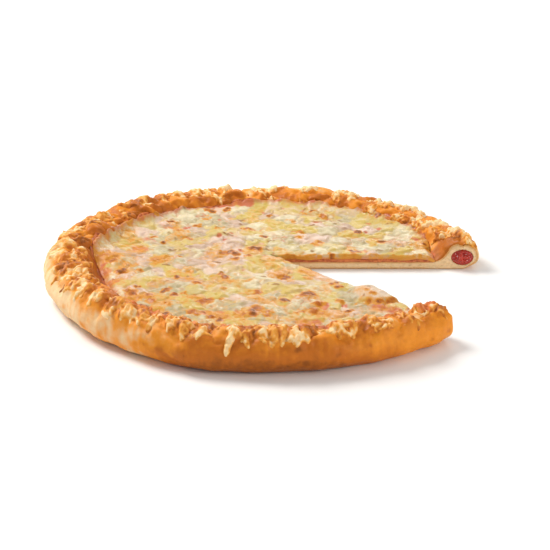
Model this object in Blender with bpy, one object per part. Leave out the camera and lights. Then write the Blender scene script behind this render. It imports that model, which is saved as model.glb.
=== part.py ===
"""A stuffed crust pizza with one wedge cut out.

Four layers, each a closed solid: the dough with its rolled rim, the sauce filling
that runs through the rim, the tomato sauce on the dough, and the melted cheese.
Each layer is made whole and round, and one cutter takes the same wedge out of all
four, so that every layer shows in both cuts.

Metres, +Z up. The origin is the middle of the pizza on the surface it rests on.
-Y is the front, and the wedge is cut out at the right, between the +X direction
and 46 degrees towards the front.
"""

import math

import bmesh
import bpy
from mathutils import Vector, noise

MM = 0.001

# The outline and the rolled rim, which is an oval in section
RADIUS = 140 * MM
RIM_WIDTH = 26 * MM
RIM_HEIGHT = 21.8 * MM
RIM_MIDDLE = 0.45  # the height of its widest place, as a share of the rim's height
RIM_INNER_TURN = math.radians(160)
RIM_OUTER_TURN = math.radians(-58)
RIM_POINTS = 13
RESTING_INSET = 11 * MM  # from the outline to the edge of the flat underside

# How those sizes swell and shrink round the pizza: each wave is its count in a turn,
# its height, and the direction of one of its tops in degrees
OUTLINE_WAVES = (
    (1, 1.5 * MM, 0),
    (2, 1.5 * MM, -45),
    (5, 0.8 * MM, 176),
    (9, 0.3 * MM, 12),
    (14, 0.3 * MM, 65),
)
HEIGHT_WAVES = (
    (1, 4.6 * MM, -115),
    (5, 0.9 * MM, -68),
    (8, 0.5 * MM, -98),
    (13, 0.6 * MM, 48),
    (19, 0.4 * MM, 40),
)
WIDTH_WAVES = ((1, 3.5 * MM, 200), (7, 0.5 * MM, 30))

# The layers inside the rim, bottom to top
BASE_THICKNESS = 5.0 * MM
FOOT_WIDTH = 9 * MM  # over which the base curves up into the rim
CLIMB = (0.0, 0.3, 0.6, 0.9)  # places up the foot, as shares of its width: the sauce's reach
CHEESE_CLIMB = CLIMB[:3]
SAUCE_THICKNESS = 1.4 * MM
CHEESE_LEVEL = 10.8 * MM
CHEESE_SHOULDER = 0.4 * MM  # the cheese is this much higher where the foot begins
CHEESE_EDGE = 1.3 * MM  # its thickness where it ends on the foot
CHEESE_RELIEF = 0.8 * MM
CHEESE_LUMP_SIZE = 30 * MM
LAYER_GAP = 0.35 * MM

# The filling in the rim, in shares of the rim's width and height
FILLING_WIDTH = 0.62
FILLING_HEIGHT = 0.56
FILLING_MIDDLE = 0.43
CHANNEL_GAP = 0.3 * MM

# The cut-out wedge: its tip, and the directions of its two sides
WEDGE_TIP = Vector((2.5 * MM, 28 * MM, 0))
FAR_CUT = math.radians(0)
NEAR_CUT = math.radians(-46)

# Steps round the pizza, the same for every layer so that they lie on each other
STEPS = 84
FILLING_SIDES = 10
CHEESE_RINGS = 7


def clear_scene():
    for obj in list(bpy.data.objects):
        bpy.data.objects.remove(obj)


def finish(name, colour, roughness):
    """A food finish: its colour and how matt it is."""
    material = bpy.data.materials.new(name)
    material.use_nodes = True
    shader = material.node_tree.nodes["Principled BSDF"]
    shader.inputs["Base Color"].default_value = (*colour, 1.0)
    shader.inputs["Roughness"].default_value = roughness
    shader.inputs["Metallic"].default_value = 0.0
    return material


# --- the shapes' sizes at each direction round the pizza ---------------------------


def waves(angle, table):
    """The sum of a table's waves in one direction."""
    return sum(h * math.cos(count * (angle - math.radians(top))) for count, h, top in table)


def outline(angle):
    """The rim's outer radius: a circle with waves, from long and tall to short and low."""
    return RADIUS + waves(angle, OUTLINE_WAVES)


def rim_width(angle):
    return RIM_WIDTH + waves(angle, WIDTH_WAVES)


def rim_middle(angle):
    return outline(angle) - rim_width(angle) / 2


def rim_height(angle):
    """The top of the rim: it rose more at the front (-Y), and is uneven all round."""
    return RIM_HEIGHT + waves(angle, HEIGHT_WAVES)


def cheese_height(angle, r):
    """The top of the cheese at a place on it: level, with soft bumps and hollows."""
    place = Vector((math.cos(angle), math.sin(angle), 0)) * (r / CHEESE_LUMP_SIZE)
    return CHEESE_LEVEL + CHEESE_RELIEF * noise.noise(place)


def rim_side(angle, turn):
    """A point on the rolled rim's section, as (radius, height).

    The section is an oval: turn is 0 at its outer side, 90 degrees at its top.
    """
    low = RIM_MIDDLE * rim_height(angle)
    half_height = rim_height(angle) - low if math.sin(turn) > 0 else low
    across = rim_width(angle) / 2 * math.cos(turn)
    return rim_middle(angle) + across, low + half_height * math.sin(turn)


def foot(angle, share):
    """A point on the dough's top where the base curves up into the rim, as (radius, height).

    share runs from 0 on the flat base to 1 at the rim's inner side.
    """
    inner, top = rim_side(angle, RIM_INNER_TURN)
    rise = (top - BASE_THICKNESS) * share**2
    return inner - FOOT_WIDTH * (1 - share), BASE_THICKNESS + rise


# --- the sections, each a list of (radius, height) points --------------------------


def dough_section(angle):
    """From the middle of the base's top, out over the rim, and back under it."""
    span = RIM_OUTER_TURN - RIM_INNER_TURN
    turns = [RIM_INNER_TURN + span * i / (RIM_POINTS - 1) for i in range(RIM_POINTS)]
    top = [foot(angle, share) for share in CLIMB]
    rim = [rim_side(angle, turn) for turn in turns]
    resting_edge = outline(angle) - RESTING_INSET
    halfway = resting_edge / 2
    return [(halfway, BASE_THICKNESS), *top, *rim, (resting_edge, 0), (halfway, 0)]


def sauce_section(angle):
    """A layer of even thickness that follows the dough and climbs the rim's foot."""
    under = [(r, z + LAYER_GAP) for r, z in (foot(angle, share) for share in CLIMB)]
    over = [(r, z + SAUCE_THICKNESS) for r, z in under]
    halfway = under[0][0] / 2
    return [(halfway, over[0][1]), *over, *reversed(under), (halfway, under[0][1])]


def cheese_section(angle):
    """Melted cheese: an uneven top, a shoulder at the rim's foot and a thin edge on it."""
    lift = SAUCE_THICKNESS + 2 * LAYER_GAP
    under = [(r, z + lift) for r, z in (foot(angle, share) for share in CHEESE_CLIMB)]
    foot_r = under[0][0]
    radii = [foot_r * ring / CHEESE_RINGS for ring in range(1, CHEESE_RINGS)]
    top = [(r, cheese_height(angle, r)) for r in radii]
    top.append((foot_r, CHEESE_LEVEL + CHEESE_SHOULDER))
    edge_r, edge_z = under[-1]
    return [*top, (edge_r, edge_z + CHEESE_EDGE), *reversed(under), (foot_r / 2, under[0][1])]


def oval_section(angle, grown):
    """The filling's oval section, or the channel's with the gap added as grown."""
    half_width = FILLING_WIDTH * rim_width(angle) / 2 + grown
    half_height = FILLING_HEIGHT * rim_height(angle) / 2 + grown
    middle_z = FILLING_MIDDLE * rim_height(angle)
    points = []
    for side in range(FILLING_SIDES):
        turn = 2 * math.pi * side / FILLING_SIDES
        r = rim_middle(angle) + half_width * math.cos(turn)
        points.append((r, middle_z + half_height * math.sin(turn)))
    return points


# --- solids ------------------------------------------------------------------------


def as_object(name, made):
    """The finished mesh as an object with its faces pointing outwards."""
    bmesh.ops.recalc_face_normals(made, faces=made.faces[:])
    mesh = bpy.data.meshes.new(name)
    made.to_mesh(mesh)
    made.free()
    obj = bpy.data.objects.new(name, mesh)
    bpy.context.scene.collection.objects.link(obj)
    return obj


def turned(name, section, middle=None):
    """One closed solid: the section at each step round the pizza, joined to the next.

    With middle=(top height, bottom height), the section's ends meet the axis there.
    Without it the section is a closed loop, and the solid is a ring.
    """
    made = bmesh.new()
    rings = []
    for step in range(STEPS):
        angle = 2 * math.pi * step / STEPS
        across, along = math.cos(angle), math.sin(angle)
        rings.append([made.verts.new((r * across, r * along, z)) for r, z in section(angle)])
    neighbours = list(zip(rings, rings[1:] + rings[:1]))
    count = len(rings[0])
    joins = count - 1 if middle else count
    for here, there in neighbours:
        for i in range(joins):
            j = (i + 1) % count
            made.faces.new((here[i], there[i], there[j], here[j]))
    if middle:
        for pole_z, end in zip(middle, (0, -1)):
            pole = made.verts.new((0, 0, pole_z))
            for here, there in neighbours:
                made.faces.new((pole, here[end], there[end]))
    obj = as_object(name, made)
    obj.data.shade_smooth()
    return obj


def as_cutter(obj):
    """A helper that only cuts: it is drawn as wires and never rendered."""
    obj.hide_render = True
    obj.display_type = "WIRE"
    return obj


def wedge_cutter():
    """A tall wedge, from its tip out past the rim."""
    reach = 2 * RADIUS
    made = bmesh.new()
    corners = [WEDGE_TIP]
    for direction in (NEAR_CUT, FAR_CUT):
        corners.append(WEDGE_TIP + reach * Vector((math.cos(direction), math.sin(direction), 0)))
    floor = made.faces.new([made.verts.new(c - Vector((0, 0, RIM_HEIGHT))) for c in corners])
    raised = bmesh.ops.extrude_face_region(made, geom=[floor])
    tops = [v for v in raised["geom"] if isinstance(v, bmesh.types.BMVert)]
    bmesh.ops.translate(made, verts=tops, vec=(0, 0, 3 * RIM_HEIGHT))
    return as_cutter(as_object("wedge_cutter", made))


def cut(obj, cutter):
    modifier = obj.modifiers.new("cut_" + cutter.name, "BOOLEAN")
    modifier.operation = "DIFFERENCE"
    modifier.solver = "EXACT"
    modifier.object = cutter


def make_dough():
    dough = turned("dough", dough_section, (BASE_THICKNESS, 0))
    channel = turned("filling_channel", lambda angle: oval_section(angle, CHANNEL_GAP))
    cut(dough, as_cutter(channel))
    dough.data.materials.append(finish("baked_crust", (0.78, 0.46, 0.18), 0.6))
    return dough


def make_rim_filling():
    filling = turned("rim_filling", lambda angle: oval_section(angle, 0))
    filling.data.materials.append(finish("tomato_filling", (0.52, 0.06, 0.04), 0.25))
    return filling


def make_sauce():
    floor = BASE_THICKNESS + LAYER_GAP
    sauce = turned("sauce", sauce_section, (floor + SAUCE_THICKNESS, floor))
    sauce.data.materials.append(finish("tomato_sauce", (0.66, 0.17, 0.07), 0.35))
    return sauce


def make_cheese():
    floor = BASE_THICKNESS + SAUCE_THICKNESS + 2 * LAYER_GAP
    cheese = turned("cheese", cheese_section, (cheese_height(0, 0), floor))
    cheese.data.materials.append(finish("melted_cheese", (0.80, 0.62, 0.36), 0.4))
    return cheese


def main():
    clear_scene()
    layers = [make_dough(), make_rim_filling(), make_sauce(), make_cheese()]
    knife = wedge_cutter()
    for layer in layers:
        cut(layer, knife)


main()
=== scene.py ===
# %% [markdown]
# # A stuffed crust pizza with one wedge cut out
#
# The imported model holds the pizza's four layers at their real size: the dough with its
# rolled rim, the tomato filling inside the rim, the tomato sauce and the melted cheese.
# This script gives each layer the surface that baking gives it. A cooked surface has no
# straight line and no even colour, so every piece is a formula for a smooth shape plus maps
# of random relief, and the same maps say where it is toasted.
#
# Lengths are in metres, and in millimetres where a name or a comment says so. The origin is
# the middle of the pizza on the table, +Z is up and -Y is the front. Directions are angles
# round the middle, from +X towards +Y.

# %% The frame
import math

import bpy
import numpy as np
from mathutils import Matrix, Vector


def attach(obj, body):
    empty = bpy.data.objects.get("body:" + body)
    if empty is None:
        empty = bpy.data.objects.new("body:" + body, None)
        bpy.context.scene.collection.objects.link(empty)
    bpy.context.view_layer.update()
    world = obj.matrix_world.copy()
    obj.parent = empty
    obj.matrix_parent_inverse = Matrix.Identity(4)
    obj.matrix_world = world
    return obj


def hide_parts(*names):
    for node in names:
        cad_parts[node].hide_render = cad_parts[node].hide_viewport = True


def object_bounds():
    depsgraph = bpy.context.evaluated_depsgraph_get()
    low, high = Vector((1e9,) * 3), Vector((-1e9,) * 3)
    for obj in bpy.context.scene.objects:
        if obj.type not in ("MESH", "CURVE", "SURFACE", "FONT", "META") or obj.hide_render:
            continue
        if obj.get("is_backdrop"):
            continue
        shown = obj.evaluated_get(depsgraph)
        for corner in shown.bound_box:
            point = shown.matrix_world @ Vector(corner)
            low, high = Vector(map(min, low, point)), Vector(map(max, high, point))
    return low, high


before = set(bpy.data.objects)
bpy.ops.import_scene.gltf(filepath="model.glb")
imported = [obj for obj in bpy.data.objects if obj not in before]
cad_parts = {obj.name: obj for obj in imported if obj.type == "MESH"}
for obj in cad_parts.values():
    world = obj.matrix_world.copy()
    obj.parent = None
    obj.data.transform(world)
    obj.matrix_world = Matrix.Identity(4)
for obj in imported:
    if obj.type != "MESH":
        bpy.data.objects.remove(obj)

MM = 0.001


def in_mm(lengths):
    """Lengths in millimetres, for printing."""
    return [round(float(length) / MM, 2) for length in np.ravel(lengths)]


def span(lengths):
    """The least and the most of an array of lengths, in words for printing."""
    least, most = in_mm([lengths.min(), lengths.max()])
    return f"from {least} to {most} mm"


cad_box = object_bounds()
print("the packed pizza's box:", in_mm(cad_box), "mm")

# %% [markdown]
# ## The camera and the light
#
# The camera looks along +Y and down by 22.6 degrees. It stands 1.5 m away with a long lens,
# because from close by the near rim would look much larger than the far one. The light is
# that of a food studio. One large soft lamp stands above and behind the left side, so it
# makes the tops glow and leaves the front wall of the rim darker. A lamp overhead would be
# simpler, but it would flatten the relief. A weak warm lamp at the front right, a faint one
# behind and a pale surround fill the shadows.

# %% Camera
IMAGE_WIDTH = 550            # pixels
PIXELS_PER_METRE = 1580      # at the distance of the pizza
CAMERA_DISTANCE = 1.5
CAMERA_TILT = math.radians(22.6)
AIM = (6.6 * MM, 0.0, 7.3 * MM)
SENSOR = 36.0

camera_data = bpy.data.cameras.new("camera")
camera_data.sensor_width = SENSOR
camera_data.lens = PIXELS_PER_METRE * CAMERA_DISTANCE * SENSOR / IMAGE_WIDTH
camera_data.clip_end = 30.0
camera = bpy.data.objects.new("camera", camera_data)
back = CAMERA_DISTANCE * math.cos(CAMERA_TILT)
camera.location = (AIM[0], AIM[1] - back, AIM[2] + CAMERA_DISTANCE * math.sin(CAMERA_TILT))
camera.rotation_euler = (math.pi / 2 - CAMERA_TILT, 0, 0)
bpy.context.scene.collection.objects.link(camera)
bpy.context.scene.camera = camera
print("lens:", round(camera_data.lens, 1), "mm")

# %% Lamps and surround
LAMPS = (
    # name, place, side of its square, power in watts, colour
    ("key_lamp", (-0.9, 0.6, 1.15), 0.7, 24.0, (1.0, 0.98, 0.95)),
    ("front_lamp", (1.3, -0.8, 0.6), 0.6, 8.6, (1.0, 0.94, 0.85)),
    ("back_lamp", (0.2, 1.5, 0.62), 0.5, 3.5, (1.0, 1.0, 1.0)),
)
SURROUND = 0.50

for name, place, side, power, colour in LAMPS:
    data = bpy.data.lights.new(name, "AREA")
    data.size = side
    data.energy = power
    data.color = colour
    lamp = bpy.data.objects.new(name, data)
    lamp.location = place
    away = np.array(place) / np.linalg.norm(place)
    lamp.rotation_euler = (math.acos(away[2]), 0, math.atan2(away[1], away[0]) + math.pi / 2)
    bpy.context.scene.collection.objects.link(lamp)

world = bpy.data.worlds.new("surround")
world.use_nodes = True
world.node_tree.nodes["Background"].inputs["Color"].default_value = (1.0, 1.0, 1.0, 1.0)
world.node_tree.nodes["Background"].inputs["Strength"].default_value = SURROUND
bpy.context.scene.world = world
bpy.context.scene.view_settings.view_transform = "Standard"
print(len(LAMPS), "lamps")

# %% [markdown]
# ## Tools for shader nodes
#
# A material is a graph of nodes. Short helpers keep it readable: one adds a node and links
# or sets its inputs, and the others wrap the few kinds that recur. Effects that more than one
# food shares are node groups, each built once.


# %% Node helpers
def node(tree, kind, inputs=None, **settings):
    """Adds a shader node, or a node group if kind is one.

    Each input is linked if its value is a socket, or else set. Three numbers are a colour.
    """
    is_group = isinstance(kind, bpy.types.NodeTree)
    made = tree.nodes.new("ShaderNodeGroup" if is_group else "ShaderNode" + kind)
    if is_group:
        made.node_tree = kind
    for name, value in settings.items():
        setattr(made, name, value)
    for name, value in (inputs or {}).items():
        if isinstance(value, bpy.types.NodeSocket):
            tree.links.new(value, made.inputs[name])
        else:
            made.inputs[name].default_value = (*value, 1.0) if isinstance(value, tuple) else value
    return made


def mixed(tree, share, first, second):
    """The colour between first and second."""
    return node(tree, "Mix", {0: share, 6: first, 7: second}, data_type="RGBA").outputs[2]


def worked(tree, operation, *values):
    """The result of one sum on two values."""
    return node(tree, "Math", dict(enumerate(values)), operation=operation).outputs[0]


def stepped(tree, value, low, high, least=0.0, most=1.0):
    """The value's place between low and high, eased, as a number from least to most."""
    inputs = {"Value": value, "From Min": low, "From Max": high, "To Min": least, "To Max": most}
    return node(tree, "MapRange", inputs, interpolation_type="SMOOTHSTEP").outputs[0]


# %% Noise, maps and groups
def noise(tree, scale, detail=3.0, roughness=0.55):
    """Noise on the piece's own coordinates, with scale waves to a metre."""
    place = node(tree, "TexCoord").outputs["Object"]
    inputs = {"Vector": place, "Scale": scale, "Detail": detail, "Roughness": roughness}
    return node(tree, "TexNoise", inputs).outputs["Fac"]


def attribute(tree, name):
    """A map that the piece's mesh carries."""
    return node(tree, "Attribute", attribute_name=name).outputs["Fac"]


def new_group(name, inputs, output):
    """An empty node group, with its inputs' sockets and its output's. A colour is 3 numbers."""
    group = bpy.data.node_groups.new(name, "ShaderNodeTree")
    for label, value in inputs.items():
        is_colour = isinstance(value, tuple)
        kind = "NodeSocketColor" if is_colour else "NodeSocketFloat"
        socket = group.interface.new_socket(label, in_out="INPUT", socket_type=kind)
        socket.default_value = (*value, 1.0) if is_colour else value
    kind = "NodeSocketColor" if output == "Colour" else "NodeSocketFloat"
    group.interface.new_socket(output, in_out="OUTPUT", socket_type=kind)
    given = group.nodes.new("NodeGroupInput").outputs
    return group, given, group.nodes.new("NodeGroupOutput").inputs[output]


# %% Material helpers
LIGHT_DEPTH = 2.5 * MM       # how deep light goes into food
COAT_ROUGHNESS = 0.25


def new_material(name, roughness, specular=0.5, subsurface=0.0, radius=(1.0, 0.5, 0.25), coat=0.0):
    """A food's material, with the numbers that are the same all over it on its shader."""
    material = bpy.data.materials.new(name)
    material.use_nodes = True
    shader = material.node_tree.nodes["Principled BSDF"]
    settings = {
        "Roughness": roughness,
        "Specular IOR Level": specular,
        "Subsurface Weight": subsurface,
        "Subsurface Radius": radius,
        "Subsurface Scale": LIGHT_DEPTH,
        "Coat Weight": coat,
        "Coat Roughness": COAT_ROUGHNESS,
    }
    for label, value in settings.items():
        shader.inputs[label].default_value = value
    return material, material.node_tree, shader


def dress(tree, shader, colour, height, distance):
    """Leads a colour to Base Color, and a height through a Bump node to Normal."""
    tree.links.new(colour, shader.inputs["Base Color"])
    bump = node(tree, "Bump", {"Height": height, "Distance": distance, "Strength": 1.0})
    tree.links.new(bump.outputs["Normal"], shader.inputs["Normal"])


# %% [markdown]
# ## Shared effects
#
# **Toasting** turns any pale food golden, then orange-brown, then dark, as its Toast input
# goes from 0 to 1. **Ragged** shifts a smooth mask with fine noise, so that its edge looks
# grown and not drawn. **Skin** is fine relief for a Bump node: soft wrinkles and small pits.
# A short function places each group in a material.

# %% Toasting
toasting, given, result = new_group(
    "Toasting",
    {
        "Colour": (0.8, 0.6, 0.4),
        "Toast": 0.0,
        "Golden": (0.74, 0.36, 0.095),
        "Brown": (0.50, 0.155, 0.028),
        "Dark": (0.13, 0.035, 0.010),
    },
    "Colour",
)
colour = given["Colour"]
for tone, low, high in (("Golden", 0.05, 0.45), ("Brown", 0.35, 0.75), ("Dark", 0.75, 1.05)):
    colour = mixed(toasting, stepped(toasting, given["Toast"], low, high), colour, given[tone])
toasting.links.new(colour, result)


def toasted(tree, colour, toast_and_light, golden, brown, dark):
    """The colour after that much toasting, by way of three tones."""
    inputs = {"Colour": colour, "Toast": toast_and_light, "Golden": golden, "Brown": brown, "Dark": dark}
    return node(tree, toasting, inputs).outputs["Colour"]


# %% Ragged
MASK_GAIN = 1.15             # makes up for what the noise takes off a full mask

ragged, given, result = new_group("Ragged", {"Mask": 0.0, "Scale": 600.0, "Depth": 0.5}, "Mask")
grain = noise(ragged, given["Scale"], 4.0, 0.65)
shift = worked(ragged, "MULTIPLY", worked(ragged, "SUBTRACT", grain, 0.5), given["Depth"])
gained = worked(ragged, "MULTIPLY", given["Mask"], MASK_GAIN)
ragged.links.new(worked(ragged, "ADD", gained, shift), result)


def ragged_map(tree, name, scale, depth):
    """A map that the piece's mesh carries, made ragged."""
    inputs = {"Mask": attribute(tree, name), "Scale": scale, "Depth": depth}
    return node(tree, ragged, inputs).outputs["Mask"]


# %% Skin
skin_grain, given, result = new_group(
    "Skin", {"Wrinkles": 350.0, "Pits": 900.0, "Pit Depth": 0.4}, "Height"
)
wrinkles = noise(skin_grain, given["Wrinkles"], 4.0, 0.6)
pits = stepped(skin_grain, noise(skin_grain, given["Pits"], 1.0, 0.5), 0.60, 0.72)
pits = worked(skin_grain, "MULTIPLY", pits, given["Pit Depth"])
skin_grain.links.new(worked(skin_grain, "SUBTRACT", wrinkles, pits), result)


def grained(tree, wrinkles, pits, depth):
    """The skin's fine relief, with so many wrinkles and pits to a metre."""
    inputs = {"Wrinkles": wrinkles, "Pits": pits, "Pit Depth": depth}
    return node(tree, skin_grain, inputs).outputs["Height"]


print("node groups:", [group.name for group in bpy.data.node_groups])

# %% [markdown]
# ## The floor
#
# A plain white sheet under the pizza, wide enough to reach past the picture. It isn't part
# of the object, so it is only staged.

# %% Floor
FLOOR_SIDE = 12.0
FLOOR_DROP = 0.2 * MM        # below the pizza, so that the two don't share a plane

bpy.ops.mesh.primitive_plane_add(size=FLOOR_SIDE, location=(0, 0, -FLOOR_DROP))
floor = bpy.context.object
floor.name = "floor"
paper, tree, shader = new_material("white_sheet", 0.7)
shader.inputs["Base Color"].default_value = (0.93, 0.93, 0.925, 1)
floor.data.materials.append(paper)
floor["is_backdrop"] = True
print("floor:", FLOOR_SIDE, "m wide")

# %% [markdown]
# ## The pizza's plan
#
# The rim is an oval in section, and its outline, height and width swell and shrink round the
# pizza. A list of points could say how, but sums of a few waves are smooth everywhere and
# take few numbers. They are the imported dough's own waves, so the dressed rim lies on it. The
# cuts are straight lines from the wedge's tip, so places are found on rays from the tip,
# which keeps every section of a layer inside the cuts.

# %% Driving sizes
RADIUS = 140 * MM
RIM_WIDTH = 26 * MM
RIM_HEIGHT = 21.8 * MM
RIM_MIDDLE = 0.45            # the height of the rim's widest place, as a share of its height
INNER_TURN = math.radians(160)
OUTER_TURN = math.radians(-58)
RESTING_INSET = 11 * MM
BASE_THICKNESS = 5.0 * MM
FOOT_WIDTH = 9 * MM          # over which the base curves up into the rim
CHEESE_LEVEL = 10.8 * MM
FILLING_WIDTH = 0.62         # shares of the rim's width and height
FILLING_HEIGHT = 0.56
FILLING_MIDDLE = 0.43

# Each wave is its count in a turn, its height in mm, and the direction of one of its tops
OUTLINE_WAVES = ((1, 1.5, 0), (2, 1.5, -45), (5, 0.8, 176), (9, 0.3, 12), (14, 0.3, 65))
HEIGHT_WAVES = ((1, 4.6, -115), (5, 0.9, -68), (8, 0.5, -98), (13, 0.6, 48), (19, 0.4, 40))
WIDTH_WAVES = ((1, 3.5, 200), (7, 0.5, 30))

TIP = np.array([2.5, 28.0]) * MM      # of the cut-out wedge
CUT_TURN = math.radians(314)          # from the far cut, round the pizza, to the near cut


# %% Outline and rim
def waves(direction, table):
    """The sum of height * cos(count * (direction - top)) over a table's waves."""
    return sum(h * MM * np.cos(n * (direction - math.radians(top))) for n, h, top in table)


def outline(direction):
    """The rim's outer radius."""
    return RADIUS + waves(direction, OUTLINE_WAVES)


def rim_width(direction):
    """How wide the rim is."""
    return RIM_WIDTH + waves(direction, WIDTH_WAVES)


def rim_height(direction):
    """How tall the rim is."""
    return RIM_HEIGHT + waves(direction, HEIGHT_WAVES)


def rim_middle(direction):
    """The radius of the line that runs along the middle of the rim."""
    return outline(direction) - rim_width(direction) / 2


def ramp(value, low, high):
    """0 at low, 1 at high, and 3 t^2 - 2 t^3 between them. It may also fall, with low > high."""
    t = np.clip((value - low) / (high - low), 0, 1)
    return t * t * (3 - 2 * t)


def polar(x, y):
    """The direction and the radius of a place, round the middle."""
    return np.arctan2(y, x), np.hypot(x, y)


def from_tip(turn, length):
    """x and y at the end of a ray from the tip."""
    return TIP[0] + length * np.cos(turn), TIP[1] + length * np.sin(turn)


def reach(turn, radius):
    """How far from the tip, along the ray with this turn, a curve round the middle lies.

    A ray from the tip p meets a circle of radius r at -b + sqrt(b^2 - |p|^2 + r^2), where b
    is p's part along the ray. The radius depends on the direction of the place that is met,
    so the sum is done four times, each time with the last place's direction.
    """
    b = TIP[0] * np.cos(turn) + TIP[1] * np.sin(turn)
    direction = turn
    for _ in range(4):
        length = -b + np.sqrt(b * b - TIP @ TIP + radius(direction) ** 2)
        direction = polar(*from_tip(turn, length))[0]
    return length


# %% The line along the rim
LINE_STEPS = 3000
line_turns = np.linspace(0, CUT_TURN, LINE_STEPS)
line_x, line_y = from_tip(line_turns, reach(line_turns, rim_middle))
line_run = np.concatenate([[0], np.cumsum(np.hypot(np.diff(line_x), np.diff(line_y)))])
line_direction = np.unwrap(np.arctan2(line_y, line_x))
RIM_LENGTH = line_run[-1]
print("the rim is", in_mm(RIM_LENGTH), "mm long from cut to cut")
print("and its height goes", span(rim_height(line_direction)))

dough_points = np.array([v.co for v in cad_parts["dough"].data.vertices])
packed_direction, packed_radius = polar(dough_points[:, 0], dough_points[:, 1])
beyond = packed_radius - outline(packed_direction)
print("the packed dough reaches", in_mm(beyond.max()), "mm past the formula's outline")

# %% [markdown]
# ## The dough's skin
#
# The skin is what shows of the dough round its rim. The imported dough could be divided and
# pushed about, but its triangles are long and uneven. So the skin is made anew, as one sheet
# with two coordinates: *run*, the way along the rim from the far cut, and *rise*, the way
# across it. Across, it goes up the foot, where the base curves into the rim, over the oval
# of the rim, and tucks in under it to the resting edge. Relief and cheese are then maps on
# run and rise, and are laid along the skin's normal.

# %% The skin's section
FOOT_PATH = 13 * MM
OVAL_PATH = 47 * MM
TUCK_PATH = 6 * MM
SKIN_PATH = FOOT_PATH + OVAL_PATH + TUCK_PATH
CREST = FOOT_PATH + OVAL_PATH * (INNER_TURN - math.pi / 2) / (INNER_TURN - OUTER_TURN)


def foot_start(direction):
    """The radius where the flat base ends and the foot begins."""
    return rim_middle(direction) + rim_width(direction) / 2 * math.cos(INNER_TURN) - FOOT_WIDTH


def dough_top(direction, radius):
    """The dough's top out to the crest: flat, then a parabola up the foot, then the oval."""
    height = rim_height(direction)
    low = RIM_MIDDLE * height
    top = low + (height - low) * math.sin(INNER_TURN)
    share = np.clip((radius - foot_start(direction)) / FOOT_WIDTH, 0, 1)
    foot = BASE_THICKNESS + (top - BASE_THICKNESS) * share**2
    across = np.clip((rim_middle(direction) - radius) / (rim_width(direction) / 2), 0, 1)
    return np.where(share < 1, foot, low + (height - low) * np.sqrt(1 - across**2))


def skin_section(direction, rise):
    """(radius, height) on the skin: the foot's parabola, then the oval, then the tuck."""
    height, half_width = rim_height(direction), rim_width(direction) / 2
    low = RIM_MIDDLE * height
    share = np.clip((rise - FOOT_PATH) / OVAL_PATH, 0, 1)
    turn = INNER_TURN + (OUTER_TURN - INNER_TURN) * share
    half_height = np.where(np.sin(turn) > 0, height - low, low)
    radius = rim_middle(direction) + half_width * np.cos(turn)
    up = low + half_height * np.sin(turn)
    tuck = np.clip((rise - FOOT_PATH - OVAL_PATH) / TUCK_PATH, 0, 1)
    radius = radius + (outline(direction) - RESTING_INSET - radius) * tuck
    on_foot = rise < FOOT_PATH
    foot_radius = foot_start(direction) + FOOT_WIDTH * rise / FOOT_PATH
    up = np.where(on_foot, dough_top(direction, foot_radius), up * (1 - tuck) ** 2)
    return np.where(on_foot, foot_radius, radius), up


# %% Places and normals on the skin
def skin_place(run, rise):
    """The place on the skin, on the ray from the tip that meets the rim's line at this run."""
    turn = np.interp(run, line_run, line_turns)
    x, y = from_tip(turn, reach(turn, lambda direction: skin_section(direction, rise)[0]))
    return np.stack([x, y, skin_section(polar(x, y)[0], rise)[1]], -1)


def unit(vectors):
    """The vectors at length 1."""
    return vectors / np.maximum(np.linalg.norm(vectors, axis=-1, keepdims=True), 1e-12)


def skin_frame(run, rise):
    """Places on the skin and its normals there: the cross product of two small steps."""
    step = 0.3 * MM
    across = skin_place(run, np.minimum(rise + step, SKIN_PATH)) - skin_place(run, rise - step)
    along = skin_place(run + step, rise) - skin_place(run - step, rise)
    return skin_place(run, rise), unit(np.cross(across, along))


# %% [markdown]
# ## Maps of relief
#
# What baking does is random, but the colours have to follow the shape. Noise in a shader
# knows nothing of the mesh, so both are read from the same maps. A map is an array of
# heights or masks with a point every 0.4 mm. Three tools fill it. *Lumps* are random noise
# with the quick waves taken out. *Strands* are the grated bars of cheese, laid one by one at
# random places and turns. *Domes* are blisters and blobs. Reading a map between its points
# gives the relief of any mesh, however fine.

# %% Lumps
MAP_STEP = 0.4 * MM
FIELD = 266 * MM             # the side of a square map that lies over the pizza
FIELD_MAP = (int(FIELD / MAP_STEP),) * 2
RIM_MAP = (int(RIM_LENGTH / MAP_STEP) + 2, int(SKIN_PATH / MAP_STEP) + 2)


def blurred(field, blur, stretch=1.0):
    """The map with its quick waves taken out: a wave f is scaled by exp(-2 (pi blur f)^2).

    stretch makes the blur that many times longer down the rows.
    """
    down = np.fft.fftfreq(field.shape[0], MAP_STEP)[:, None] * stretch
    across = np.fft.rfftfreq(field.shape[1], MAP_STEP)[None, :]
    keep = np.exp(-2 * (np.pi * blur) ** 2 * (down**2 + across**2))
    return np.fft.irfft2(np.fft.rfft2(field) * keep, s=field.shape)


def lumps(shape, size, seed, stretch=1.0):
    """Random lumps about size mm across, with a mean of 0 and a spread of 1."""
    white = np.random.default_rng(seed).standard_normal(shape)
    smooth = blurred(white, size * MM / 5, stretch)
    return (smooth - smooth.mean()) / smooth.std()


def rim_lumps(size, seed, stretch=1.0):
    """Lumps on the rim's map."""
    return lumps(RIM_MAP, size, seed, stretch)


def field_lumps(size, seed):
    """Lumps on the map that lies over the pizza."""
    return lumps(FIELD_MAP, size, seed)


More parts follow.
